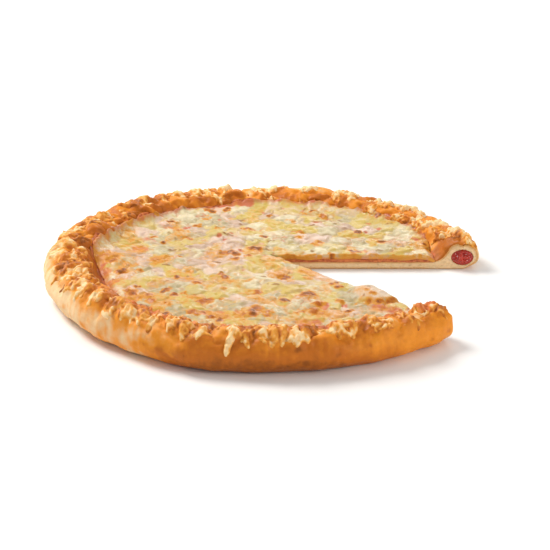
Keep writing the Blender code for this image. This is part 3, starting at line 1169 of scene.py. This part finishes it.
everywhere = np.ones(FIELD_MAP)
strands = np.zeros(FIELD_MAP)
yellowness = np.full(FIELD_MAP, 0.3)
for layer in range(STRAND_LAYERS):
    clusters = ramp(field_lumps(24, 61 + layer), -0.6, 1.2)
    strew(strands, yellowness, everywhere, 480, 41 + layer, *WHITE_STRANDS)
    strew(strands, yellowness, clusters, 620, 51 + layer, *YELLOW_STRANDS)
melted = 0.46 * blurred(np.clip(strands, 0, 1.6 * MM), 1.1 * MM)
field_x = (np.arange(FIELD_MAP[1]) * MAP_STEP - FIELD / 2)[None, :]
field_y = (np.arange(FIELD_MAP[0]) * MAP_STEP - FIELD / 2)[:, None]
print("melted strands are up to", in_mm(melted.max()), "mm high")

# %% Pools, each whiter, pinker, yellower or more toasted than its neighbours
POOL_SPACING = 12 * MM
POOL_REACH = 19 * MM         # no pool reaches further from its place
WANDER = (7, 1.6 * MM, 36)   # of the pools' borders: size in mm, amount and seed

pool_random = np.random.default_rng(40)
pool_steps = np.arange(0.5, FIELD / POOL_SPACING)
pools_at = np.stack(np.meshgrid(pool_steps, pool_steps), -1).reshape(-1, 2)
pools_at = (pools_at + pool_random.uniform(-0.48, 0.48, pools_at.shape)) * POOL_SPACING
pool_gap, pool_number = cells(FIELD_MAP, pools_at, POOL_REACH, 39)
pools = len(pools_at)
pool_yellow, pool_pink, pool_toast, pool_pale = (
    blurred(warped(values[pool_number], *WANDER), blur * MM)
    for values, blur in (
        (pool_random.choice([0.0, 0.15, 0.8, 1.1], pools, p=[0.42, 0.18, 0.20, 0.20]), 0.8),
        (pool_random.choice([0.0, 1.0], pools, p=[0.6, 0.4]), 1.4),
        (pool_random.choice([0.0, 0.20], pools, p=[0.8, 0.2]), 1.2),
        (pool_random.uniform(0, 1, pools), 0.9),
    )
)
pool_gap = warped(pool_gap, *WANDER) / MM
# Less pale near the pools' borders, and more toasted and redder in the creases: partly sauce showing
# through, partly painted shade in the creases.
paleness = 0.26 + 0.6 * pool_pale + 0.10 * field_lumps(4.5, 37) - 0.25 * ramp(pool_gap, 3, 0)
yellowness = 0.55 * blurred(yellowness, 0.7 * MM) + 0.6 * pool_yellow
creases = ramp(pool_gap, 2.2, 0) * ramp(field_lumps(16, 35), -0.3, 0.9)
print(pools, "pools")

# %% A large bubble that rose at the near cut and sagged over it
LOBE = (67 * MM, -39 * MM)
LOBE_RADIUS = 14.5 * MM
LOBE_HEIGHT = 5.0 * MM
LOBE_LIKE = 0.85             # how far the bubble is smoothed

from_lobe = np.hypot(field_x - LOBE[0], field_y - LOBE[1])
on_lobe = ramp(from_lobe, LOBE_RADIUS, 0.6 * LOBE_RADIUS)
melted = melted + (melted.mean() - melted) * LOBE_LIKE * on_lobe
yellowness = yellowness * (1 - on_lobe)
pool_pink = pool_pink + (0.7 - pool_pink) * on_lobe
paleness = paleness + (1.0 - paleness) * on_lobe
# The ring along the bubble's lower foot is darker: partly toasting, partly painted shade in the crease
# under it.
lobe_foot = np.exp(-(((from_lobe - 1.02 * LOBE_RADIUS) / (2.6 * MM)) ** 2))
lobe_foot *= ramp((field_y - LOBE[1]) / MM, -2, -9) * ramp(field_lumps(7, 50), -0.9, 0.7)
print("bubble at", in_mm(LOBE), "mm")

# %% Toasted spots
SPOTS = (
    # place x, y and radius in mm, and how dark it toasted
    (-61.5, -31.5, 2.6, 0.85), (-55.5, -38.5, 2.2, 0.9), (-21, 27, 2.8, 0.75),
    (-26, -9, 2.8, 0.62), (-6, 37, 2.8, 0.66), (-90.5, 0.5, 2.4, 0.62), (-80, 1, 1.8, 0.5),
    (-96, 13, 2.2, 0.45), (-83, -31, 3.0, 0.45), (-71, -39, 2.0, 0.5), (-49, -36, 1.8, 0.45),
    (-71.5, 57.5, 2.0, 0.65), (-55, 66.5, 3.4, 0.5), (-44.5, 78, 2.0, 0.7),
    (-31.5, 70, 2.4, 0.55), (-39, 93, 2.8, 0.5), (38.5, 93, 3.0, 0.7), (17, 83, 2.4, 0.5),
    (34, 44, 3.2, 0.55), (23, 54, 2.4, 0.5), (27, -13, 2.2, 0.5), (28, -38.5, 3.4, 0.62),
    (33, -52.5, 3.0, 0.6), (-42, -20, 2.2, 0.6), (-3, -35, 2.2, 0.5), (-36, -50, 3.0, 0.5),
    (-1, -64, 4.0, 0.55), (63, -42, 1.5, 0.42), (66.5, -45, 1.6, 0.45), (46, -50, 2.2, 0.5),
    (76, -58, 3.0, 0.25), (-6, -68, 3.0, 0.65), (3, -68, 2.6, 0.6), (-42, -69, 3.0, 0.6),
    (-33, -71, 2.6, 0.55), (-15, -71, 2.4, 0.5), (21, -66, 2.6, 0.55), (29, -64, 2.4, 0.55),
    (33, -56, 2.0, 0.5), (-58, -54, 3.0, 0.5), (-70, -48, 2.6, 0.55), (-84, -34, 2.6, 0.5),
)
SMALL_SPOTS = 90, (1.0, 2.4), (0.45, 0.9), 0.4     # how many, radius, darkness, height in mm
SOFT_SPOTS = 180, (2.5, 6), (0.08, 0.26), 0.1
blisters = np.zeros(FIELD_MAP)
toast_field = np.zeros(FIELD_MAP)
spots = np.random.default_rng(44)


def field_place(x, y):
    """A place in mm as metres down and across the map that lies over the pizza."""
    return (y * MM + FIELD / 2, x * MM + FIELD / 2)


def toast_spot(at, radius, dark, height):
    """A toasted spot made of five domes that overlap, so that it isn't round."""
    for _ in range(5):
        shifted = np.array(at) + spots.uniform(-0.95, 0.95, 2) * radius
        size = radius * spots.uniform(0.4, 1.1)
        raise_dome(toast_field, shifted, size * 1.5, dark * spots.uniform(0.6, 1.0), 1.0, np.maximum)
        raise_dome(blisters, shifted, size * 1.2, height * 0.4)


# %% Laying the toasted spots
for x, y, radius, dark in SPOTS:
    toast_spot(field_place(x, y), radius * MM, dark, 0.6 * MM)
for count, radii, darkness, height in (SMALL_SPOTS, SOFT_SPOTS):
    for _ in range(count):
        at = spots.random(2) * FIELD
        toast_spot(at, spots.uniform(*radii) * MM, spots.uniform(*darkness), height * MM)
toast_field = np.clip(1.45 * toast_field**1.35, 0, 1.05)
print("toasted strongly:", (toast_field > 0.5).mean().round(3), "of the cheese")

# %% Dried strands and thin places
DRIED_STRANDS = (2.5, 5.5), (1.2, 2.4), (0.3, 0.5), (0.2, 0.8)
LONG_DRIED_STRANDS = (
    # place x, y and length in mm
    (-59.5, 36, 7), (-62.5, 8, 6), (-24, 59.5, 9), (2, 98, 7), (-1, -11, 6), (-30, 14, 8),
    (4, 50.5, 6), (7, -25.5, 5), (-16, 87, 6),
)
THIN_PLACES = (
    # place x, y and radius in mm of the places where the sauce shows
    (-80.6, 34.8, 5.5), (-104, 12, 5.0), (-101, 0, 4.5), (-89, -2, 3.5), (-94, -16, 3.8),
    (-82, -40, 4.5), (-29, 113, 3.4), (-23, 114, 3.4), (-17, 114.5, 3.2), (-11, 114.5, 3.4),
    (-36, -67, 4.5), (-27, -65, 3.5), (23, -81, 4.0), (31, -82, 4.5), (70, -60, 5.0),
    (79, -64, 5.5),
)
dried = np.zeros(FIELD_MAP)
dryness = np.zeros(FIELD_MAP)
print(strew(dried, dryness, everywhere, 460, 57, *DRIED_STRANDS), "dried strands")
for x, y, length in LONG_DRIED_STRANDS:
    turn = math.pi / 2 + spots.uniform(-0.5, 0.5)
    sizes = (length * MM, 2.9 * MM, 0.4 * MM)
    lay_strand(dried, dryness, field_place(x, y), turn, *sizes, bend=30, tone=0.8)
thin = ramp(field_lumps(13, 43), 1.8, 3.0)
for x, y, radius in THIN_PLACES:
    raise_dome(thin, field_place(x, y), 1.25 * radius * MM, 1.0)
thin = np.clip(thin, 0, 1)

# %% Relief of the cheese
cheese_relief = MM * (
    0.45 * field_lumps(32, 45)
    + 0.15 * field_lumps(12, 46)
    + 0.03 * field_lumps(3.5, 47)
    + 1.0 * ramp(pool_gap, 0, 7) * (1 - on_lobe) - 0.5
    - 0.6 * thin
)
cheese_relief += melted - melted.mean() + np.clip(blisters, 0, 1.1 * MM) + blurred(dried, 0.3 * MM)
raise_dome(cheese_relief, (FIELD / 2 + LOBE[1], FIELD / 2 + LOBE[0]), LOBE_RADIUS, LOBE_HEIGHT, 0.6)
cheese_relief = np.clip(cheese_relief, -1.5 * MM, 4.8 * MM)
print("the cheese's relief goes", span(cheese_relief))

# %% [markdown]
# The cheese lies on the sauce. Its edge wanders on the rim's foot, climbs the rim at the back
# and stops short at the left. Its top is the level plus the relief, held up by a thin film
# where the foot rises, and held down towards its edge.

# %% Edges of the toppings
STRAND_ENDS = (37, 53, 71, 97, 131, 173)


def edge_wander(direction, seed, counts=(4, 7, 11, 16, 23, 31, 43, 61)):
    """A smooth random number round the pizza, from about -1 to 1: waves, lower if quicker."""
    random = np.random.default_rng(seed)
    total = 0
    for count in counts:
        height = random.uniform(0.5, 1) / math.sqrt(count)
        total = total + height * np.cos(count * direction + random.uniform(0, 6.3))
    return total / 0.75


def topping_edge(direction):
    """The radius where the topping ends on the rim's foot, higher behind and short at the left."""
    past_foot = 2.5 + 1.1 * edge_wander(direction, 51)
    climb = 6.6 * ramp(np.cos(direction - math.radians(100)), 0.0, 0.45)
    short = 3.6 * ramp(np.cos(direction - math.radians(188)), math.cos(0.35), math.cos(0.1))
    return foot_start(direction) + (past_foot + climb - short) * MM


def cheese_edge(direction):
    """The topping's edge, with the ends of strands in it."""
    return topping_edge(direction) + 1.0 * MM * edge_wander(direction, 54, STRAND_ENDS)


# %% Heights of the cheese
SAUCE_LIFT = 1.85 * MM       # of the cheese's underside over the dough
EDGE_THINNING = 0.9 * MM     # and how much less it is at the cheese's edge
EDGE_HEIGHT = 1.5 * MM       # the most that the cheese may stand at its edge
EDGE_SLOPE = 0.75            # how that limit grows inwards
FILM = 1.4 * MM              # the least that the cheese may stand
ROUNDING = 0.6 * MM          # of the corners where the limits take over
SAG, SAG_WIDTH = 0.7 * MM, 3 * MM     # of the top at the cuts


def cheese_under(x, y):
    """The cheese lies on the sauce, which follows the dough and is thin at its edge."""
    direction, radius = polar(x, y)
    thinner = ramp(cheese_edge(direction) - radius, 5 * MM, 0)
    return dough_top(direction, radius) + SAUCE_LIFT - EDGE_THINNING * thinner


def cheese_top(x, y):
    """Level plus relief, at least a film and at most what the edge's distance allows.

    Both limits are smooth: the larger of a and b is (a + b + sqrt((a - b)^2 + f^2)) / 2, where
    f rounds the corner. The top sags towards the cuts.
    """
    direction, radius = polar(x, y)
    under = cheese_under(x, y)
    inside = np.maximum(cheese_edge(direction) - radius, 0)
    uneven = on_field(cheese_relief, x, y)
    limit = EDGE_HEIGHT + EDGE_SLOPE * inside + 0.3 * uneven
    film = FILM + 0.6 * uneven
    full = CHEESE_LEVEL + uneven - under
    fillet = ROUNDING + 2.8 * MM * ramp((radius - foot_start(direction)) / MM, -6, 2)
    full = 0.5 * (full + film + np.sqrt((full - film) ** 2 + fillet**2))
    thick = 0.5 * (full + limit - np.sqrt((full - limit) ** 2 + ROUNDING**2))
    from_near_cut = (y - TIP[1]) * math.cos(CUT_TURN) - (x - TIP[0]) * math.sin(CUT_TURN)
    gap = np.where(x < 0, 1.0, np.minimum(np.abs(from_near_cut), np.abs(y - TIP[1])))
    return under + thick - SAG * np.exp(-gap / SAG_WIDTH)


def cheese_lip(x, y, turn):
    """The lip bulges 1 to 4 mm over the near cut, 8 at the bubble, and 1 over the far one.

    Two sines with unlike wave lengths make its lobes, and it droops most where they are full.
    """
    run = np.hypot(x - TIP[0], y - TIP[1]) / MM
    lobes = 0.5 + 0.5 * np.sin(run / 5.1) * np.sin(run / 8.3 + 1)
    past_tip = ramp(run, 0, 12)
    bubble = ramp(run, 72, 88) * ramp(run, 124, 112)
    near = past_tip * (0.8 + 2.4 * ramp(run, 25, 60) + 1.0 * lobes + 4.2 * bubble)
    far = 0.5 + 0.9 * lobes * past_tip
    cut = on_cut(turn)
    bulge = np.where(cut, np.where(turn > 1, near, far), 0.8)
    droop = np.where(cut, np.minimum((0.3 + 1.5 * lobes**2) * bulge, 4.5), 0)
    return bulge * MM, droop * MM


# %% Cheese and its places
CHEESE_ROWS = 160
cheese_points, cheese_faces = spread_layer(
    CHEESE_ROWS, cheese_edge, cheese_top, cheese_under, cheese_lip
)
place_x, place_y, place_up = cheese_points.T
direction, radius = polar(place_x, place_y)
edge_gap = (cheese_edge(direction) - radius) / MM
front_share = ramp(place_y / MM, -20, -90)
back_share = ramp(place_y / MM, 20, 90)
left_share = ramp(place_x / MM, -50, -95)
past_tip = ramp((place_x - TIP[0]) / MM, 4, 14)
far_lip = (place_y < TIP[1] + 0.2 * MM) & (place_y > TIP[1] - 3 * MM)
print("the cheese's height over the table goes", span(place_up))

# %% Masks of the cheese
# Golden patches, with painted shade in them at the bubble's foot and in the creases.
golden_patches_and_shade = pool_toast + 0.5 * lobe_foot + 0.10 * ramp(field_lumps(26, 48), 0.0, 1.4)
golden_patches_and_shade = golden_patches_and_shade + 0.12 * creases
# Painted shade: the far cut's lip is darker, for its rounded edge that faces away from the key lamp.
# Near the edge, at the front and at the left it is more toasted, and at the back less.
edge_toast_and_shade = 0.22 * far_lip * past_tip - 0.10 * back_share + 0.09 * left_share
edge_toast_and_shade = edge_toast_and_shade + ramp(edge_gap, 5, 0) * (0.04 + 0.14 * front_share) + 0.10 * front_share
# Painted light: paler where the cheese climbs the rim's foot, away from the front, to make up for the
# shade on that slope. Darker towards the front.
painted_edge_light_dark_front = 0.45 * ramp(edge_gap, 14, 4) * (1 - front_share) - 0.15 * front_share
sauce_field = thin + 0.25 * ramp(field_lumps(20, 49), 0.8, 2.0) + 0.3 * creases
edge_sauce = 0.5 * ramp(edge_gap, 3.5, 0) + 0.6 * far_lip * ramp(place_up / MM, 9.5, 7.5)
cheese_masks = {
    label: on_field(field, place_x, place_y) + extra
    for label, field, extra in (
        ("toast_and_light", toast_field + golden_patches_and_shade, edge_toast_and_shade),
        ("yellow", yellowness, 0),
        ("pink", pool_pink, 0),
        ("pale", paleness, painted_edge_light_dark_front),
        ("dry", blurred(dryness, 0.45 * MM), 0),
        ("sauce", sauce_field, edge_sauce + 0.10 * left_share),
    )
}
print("masks:", *cheese_masks)

# %% [markdown]
# The cheese's colour starts from cream, greyer and pinker where it is white cheese, with the
# yellow cheese over it. Where it is thin the sauce tints it. The toasting comes last.

# %% Cheese material
melted_cheese, tree, shader = new_material("melted_cheese", 0.36, 0.26, 0.12, (1.0, 0.6, 0.3))
patchy = worked(tree, "SUBTRACT", noise(tree, 170), 0.5)
patchy = stepped(tree, worked(tree, "ADD", attribute(tree, "pale"), patchy), 0.0, 1.0)
white = mixed(tree, patchy, (0.415, 0.335, 0.18), (0.72, 0.62, 0.395))
pink = mixed(tree, patchy, (0.47, 0.31, 0.21), (0.71, 0.52, 0.395))
colour = mixed(tree, attribute(tree, "pink"), white, pink)
yellow_share = stepped(tree, ragged_map(tree, "yellow", 450.0, 0.7), 0.25, 1.05)
colour = mixed(tree, yellow_share, colour, (0.60, 0.435, 0.105))
sauce_share = stepped(tree, ragged_map(tree, "sauce", 300.0, 1.0), 0.1, 0.9, 0.0, 0.9)
colour = mixed(tree, sauce_share, colour, (0.58, 0.14, 0.06))
tones = (0.66, 0.285, 0.030), (0.45, 0.13, 0.012), (0.23, 0.075, 0.012)
colour = toasted(tree, colour, ragged_map(tree, "toast_and_light", 380.0, 0.8), *tones)
dry_share = stepped(tree, attribute(tree, "dry"), 0.1, 0.8, 0.0, 0.85)
colour = mixed(tree, dry_share, colour, (0.28, 0.115, 0.017))
dress(tree, shader, colour, grained(tree, 420.0, 800.0, 0.3), 0.22 * MM)
tree.links.new(stepped(tree, noise(tree, 160), 0.3, 0.7, 0.28, 0.48), shader.inputs["Roughness"])
make_piece(
    "cheese_melted", cheese_points, cheese_faces, melted_cheese, "cheese", cheese_masks
)

# %% [markdown]
# ## The tomato sauce
#
# A thin wet layer between dough and cheese. It is seen as a red line in the cuts, and as a
# broken ring where it climbs past the cheese's edge at the foot of the rim. The red could be
# a colour of the dough, but a layer of its own has the real one's thickness and shine.

# %% Edge and heights of the sauce
SAUCE_ROWS = 90
SAUCE_SUNK = 0.2 * MM        # its underside below the dough's top, so that no gap shows
SAUCE_THICKNESS = 2.2 * MM
SAUCE_THINNING = 1.6 * MM    # and how much less it is at the sauce's edge
sauce_relief = 0.16 * MM * np.clip(field_lumps(6, 53), -2, 2)


def sauce_edge(direction):
    """The sauce goes a little further up the foot than the cheese, most of all at the left."""
    left = ramp(-np.cos(direction), 0.8, 0.98)
    extra = 1.1 + 1.2 * edge_wander(direction, 52) + 1.8 * left
    return topping_edge(direction) + np.clip(extra, -1, 5.5) * MM


def sauce_under(x, y):
    """The dough's top, a little below it."""
    return dough_top(*polar(x, y)) - SAUCE_SUNK


def sauce_top(x, y):
    """2.2 mm over the sauce's underside, and 0.6 mm at its edge."""
    direction, radius = polar(x, y)
    thick = SAUCE_THICKNESS - SAUCE_THINNING * ramp(sauce_edge(direction) - radius, 6 * MM, 0)
    return sauce_under(x, y) + thick + on_field(sauce_relief, x, y)


def sauce_lip(x, y, turn):
    """The cut squeezes the sauce out by up to a millimetre."""
    run = np.hypot(x - TIP[0], y - TIP[1]) / MM
    lobes = 0.5 + 0.5 * np.sin(run / 2.3) * np.sin(run / 6.7)
    bulge = np.where(on_cut(turn), 0.35 + 0.75 * lobes**2, 0.3) * MM
    return bulge, 0.9 * bulge


# %% Sauce
def pulpy(tree, shader, scale, detail, dark, light, distance):
    """Tomato pulp: one noise gives both its colour and its relief."""
    pulp = noise(tree, scale, detail, 0.6)
    dress(tree, shader, mixed(tree, stepped(tree, pulp, 0.35, 0.65), dark, light), pulp, distance)


tomato_sauce, tree, shader = new_material("tomato_sauce", 0.35, 0.3, 0.1, (1.0, 0.25, 0.1), 0.1)
pulpy(tree, shader, 380, 4.0, (0.40, 0.085, 0.022), (0.64, 0.19, 0.055), 0.5 * MM)
sauce_points, sauce_faces = spread_layer(SAUCE_ROWS, sauce_edge, sauce_top, sauce_under, sauce_lip)
make_piece("sauce_layer", sauce_points, sauce_faces, tomato_sauce, "sauce")

# %% [markdown]
# ## The filling in the rim
#
# A strip of thick tomato filling runs all round inside the rim and shows as an oval at the
# two cuts, where it stands a little proud: a soft, lumpy, shining dome. A flat end would look
# sawn. So the strip is a tube whose last rings shrink to a point and swell out of the cut.

# %% Oval and domes of the filling
FILLING_SECTIONS = 240
FILLING_SIDES = 64
DOME_RINGS = 22
DOME_HEIGHT = 2.4 * MM
DOME_MAP = (100, 100)


def filling_place(run, around, grown=0.0):
    """The filling's oval: half axes are shares of the rim's width and height, grown by grown."""
    turn = np.interp(run, line_run, line_turns)

    def radius(direction):
        half_width = FILLING_WIDTH * rim_width(direction) / 2 + grown
        return rim_middle(direction) + half_width * np.cos(around)

    x, y = from_tip(turn, reach(turn, radius))
    height = rim_height(polar(x, y)[0])
    up = FILLING_MIDDLE * height + (FILLING_HEIGHT * height / 2 + grown) * np.sin(around)
    return np.stack([x, y, up], -1)


tube_around = np.linspace(0, 2 * np.pi, FILLING_SIDES, endpoint=False)[None, :]


def dome(run, outwards, seed):
    """Rings that shrink from the oval to its middle and swell out of the cut.

    At share s of the oval's size the dome stands height * (1 - s^2)^0.6 out of the cut, plus
    lumps that fade towards its edge.
    """
    share = np.linspace(1, 0, DOME_RINGS)[:, None]
    rim_ring = filling_place(np.full((1, 1), run), tube_around)
    middle = rim_ring.mean(axis=1, keepdims=True)
    points = middle + (rim_ring - middle) * share[..., None]
    bumps = MM * (0.55 * lumps(DOME_MAP, 4.0, seed) + 0.18 * lumps(DOME_MAP, 1.8, seed + 1))
    down, across = (20 * MM + 9 * MM * share * part(tube_around) for part in (np.sin, np.cos))
    out = DOME_HEIGHT * (1 - share**2) ** 0.6 + read(bumps, down, across) * (1 - share**4)
    return points + out[..., None] * outwards


# %% Filling
far_out = np.array([0.0, -1.0, 0.0])
near_out = np.array([-math.sin(CUT_TURN), math.cos(CUT_TURN), 0.0])
tube = filling_place(np.linspace(0, RIM_LENGTH, FILLING_SECTIONS)[:, None], tube_around)
far_dome = dome(0.0, far_out, 61)[::-1]
near_dome = dome(RIM_LENGTH, near_out, 63)
filling_grid = np.concatenate([far_dome[:-1], tube, near_dome[1:]])
numbers = numbered(filling_grid)
numbers[0] = numbers[0, 0]
numbers[-1] = numbers[-1, 0]
filling_faces = grid_quads(looped(numbers))

tomato_filling, tree, shader = new_material("tomato_filling", 0.14, 0.6, 0.1, (1.0, 0.15, 0.05))
pulpy(tree, shader, 200, 5.0, (0.32, 0.010, 0.005), (0.50, 0.03, 0.010), 0.25 * MM)
make_piece(
    "filling_strip", filling_grid, filling_faces, tomato_filling, "rim_filling"
)

# %% [markdown]
# ## The crumb in the cuts
#
# A knife opens the dough and shows its crumb: pale, soft, with small pores, browner where it
# meets the skin. Each cut's crumb is a sheet over the dough's section, with a hole for the
# filling. The dough's own end could be divided instead, but a grid that follows the outline
# knows how far each point is from the skin, and the browning goes by that. The grid runs
# along the outline, and across to a line in the middle: halfway up the base, and then round
# the filling's oval.

# %% Outline and middle line of the crumb
CRUMB_LAYERS = 9
CRUMB_PROUD = 0.5 * MM
CRUMB_BACK = 1.6 * MM
CRUMB_MAP = (400, 90)
TAIL_STEP = 0.45 * MM
TAIL_GAP = 6 * MM            # from the end of the base's even part to the foot
JOIN_SHARE = 0.55            # of the foot's width, where the way round the oval begins
JOIN_POINTS = 14
OVAL_START = math.radians(205)
ROUND_POINTS = 190


def resample(line, count):
    """Points at even steps along a line of points."""
    run = np.concatenate([[0], np.cumsum(np.linalg.norm(np.diff(line, axis=0), axis=1))])
    even = np.linspace(0, run[-1], count)
    return np.column_stack([np.interp(even, run, line[:, k]) for k in range(line.shape[1])])


def in_section(points):
    """Points as (distance from the tip, height)."""
    return np.column_stack([np.hypot(*(points[:, :2] - TIP).T), points[:, 2]])


def crumb_lines(ring, run):
    """The outline of one cut's crumb, and the line in its middle, with as many points.

    The outline goes out along the tail, which is the base, over a short join, round the rim
    and back. The line in the middle goes out at half the tail's height, over a bridge that
    curves to the oval, round the oval and back.
    """
    flat = in_section(ring)
    top = flat[: BASE_POINTS + SKIN_POINTS]
    oval_angle = OVAL_START - np.linspace(0, 2 * np.pi, ROUND_POINTS)
    oval = in_section(filling_place(np.full(1, run), oval_angle, 0.1 * MM))
    foot_at = flat[BASE_POINTS, 0]
    tail_end, join_end = foot_at - TAIL_GAP, foot_at + JOIN_SHARE * FOOT_WIDTH
    tail = np.linspace(0, tail_end, int(tail_end / TAIL_STEP))
    over = np.concatenate([tail, np.linspace(tail_end, join_end, JOIN_POINTS)[1:]])
    crest_at = top[:, 0].argmax()
    upper = np.column_stack([over, np.interp(over, top[:crest_at, 0], top[:crest_at, 1])])
    past = flat[(np.arange(len(flat)) > BASE_POINTS) & (flat[:, 0] > join_end)]
    arch = resample(np.vstack([upper[-1], past, (join_end, 0)]), ROUND_POINTS)
    lower = np.column_stack([over, np.zeros(len(over))])
    halfway = np.column_stack([tail, upper[: len(tail), 1] / 2])
    share = np.linspace(0, 1, JOIN_POINTS)[1:]
    bridge = halfway[-1] + (oval[0] - halfway[-1]) * np.column_stack([share, share**3])
    inner = np.vstack([halfway, bridge])
    return np.vstack([upper, arch[1:-1], lower[::-1]]), np.vstack([inner, oval[1:-1], inner[::-1]])


# %% Crumb's surface
def crumb_sheet(ring, turn, run, outwards, seed):
    """Points of one cut's crumb, its pores, and each point's way from the outline in mm.

    ring is the dough's section there, tip to tip. The crumb swells out of the cut by
    CRUMB_PROUD within 0.9 mm of the outline, and the pores are dents in it.
    """
    outer, inner = (line[:, None] for line in crumb_lines(ring, run))
    depth = np.linspace(0, 1, CRUMB_LAYERS)[None, :, None] ** 1.2
    sheet = outer + (inner - outer) * depth
    gap = np.linalg.norm(sheet - outer, axis=-1) / MM
    pores = 0.75 * ramp(lumps(CRUMB_MAP, 2.6, seed), 0.7, 1.9)
    pores += 0.35 * ramp(lumps(CRUMB_MAP, 1.2, seed + 1), 1.0, 2.0)
    inside = ramp(gap, 0, 1.2)
    hole = read(pores, sheet[..., 0], sheet[..., 1]) * inside
    soft = read(lumps(CRUMB_MAP, 9, seed + 2), sheet[..., 0], sheet[..., 1])
    out = CRUMB_PROUD * np.sqrt(ramp(gap, 0, 0.9)) + 0.12 * MM * inside * soft
    out = np.maximum(out - 0.36 * MM * hole, 0.1 * MM * ramp(gap, 0, 0.3))
    points = np.array([*TIP, 0.0]) + sheet[..., :1] * np.array([math.cos(turn), math.sin(turn), 0.0])
    points[..., 2] = sheet[..., 1]
    return points + out[..., None] * outwards, hole, gap


# %% Crumb
def crumb_piece(name, ring, turn, run, outwards, seed):
    """The sheet, welded along its middle line and given a back by a Solidify modifier."""
    points, hole, gap = crumb_sheet(ring, turn, run, outwards, seed)
    numbers = numbered(points)
    mirror = numbers[::-1, -1]
    same = np.linalg.norm(points[:, -1] - points[::-1, -1], axis=-1) < 1e-7
    half = len(numbers) // 2
    numbers[half:, -1] = np.where(same[half:], mirror[half:], numbers[half:, -1])
    masks = {"pore": hole, "inside": ramp(gap, 0.2, 1.8)}
    piece = make_piece(name, points, grid_quads(numbers), bread_crumb, None, masks)
    if np.dot(piece.data.polygons[0].normal, outwards) < 0:
        piece.data.flip_normals()
    back = piece.modifiers.new("back", "SOLIDIFY")
    back.thickness = CRUMB_BACK
    back.offset = -1


bread_crumb, tree, shader = new_material("bread_crumb", 0.75, 0.3, 0.15, (1.0, 0.6, 0.35))
soft = mixed(tree, noise(tree, 220), (0.83, 0.56, 0.30), (0.89, 0.65, 0.38))
colour = mixed(tree, attribute(tree, "inside"), (0.66, 0.33, 0.10), soft)
# Painted shade: the crumb is darker in its pores, for the shade inside the dents.
painted_pore_shade = worked(tree, "MULTIPLY", attribute(tree, "pore"), 0.5)
colour = mixed(tree, painted_pore_shade, colour, (0.55, 0.30, 0.12))
dress(tree, shader, colour, grained(tree, 900.0, 1400.0, 0.8), 0.3 * MM)

crumb_piece("crumb_far", dough_grid[0], 0.0, 0.0, far_out, 71)
crumb_piece("crumb_near", dough_grid[-1], CUT_TURN, RIM_LENGTH, near_out, 75)

# %% Sizes
dressed_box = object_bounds()
sizes = {"cad": [list(corner) for corner in cad_box], "visual": [list(corner) for corner in dressed_box]}
print("the dressed pizza's box:", in_mm(dressed_box), "mm")
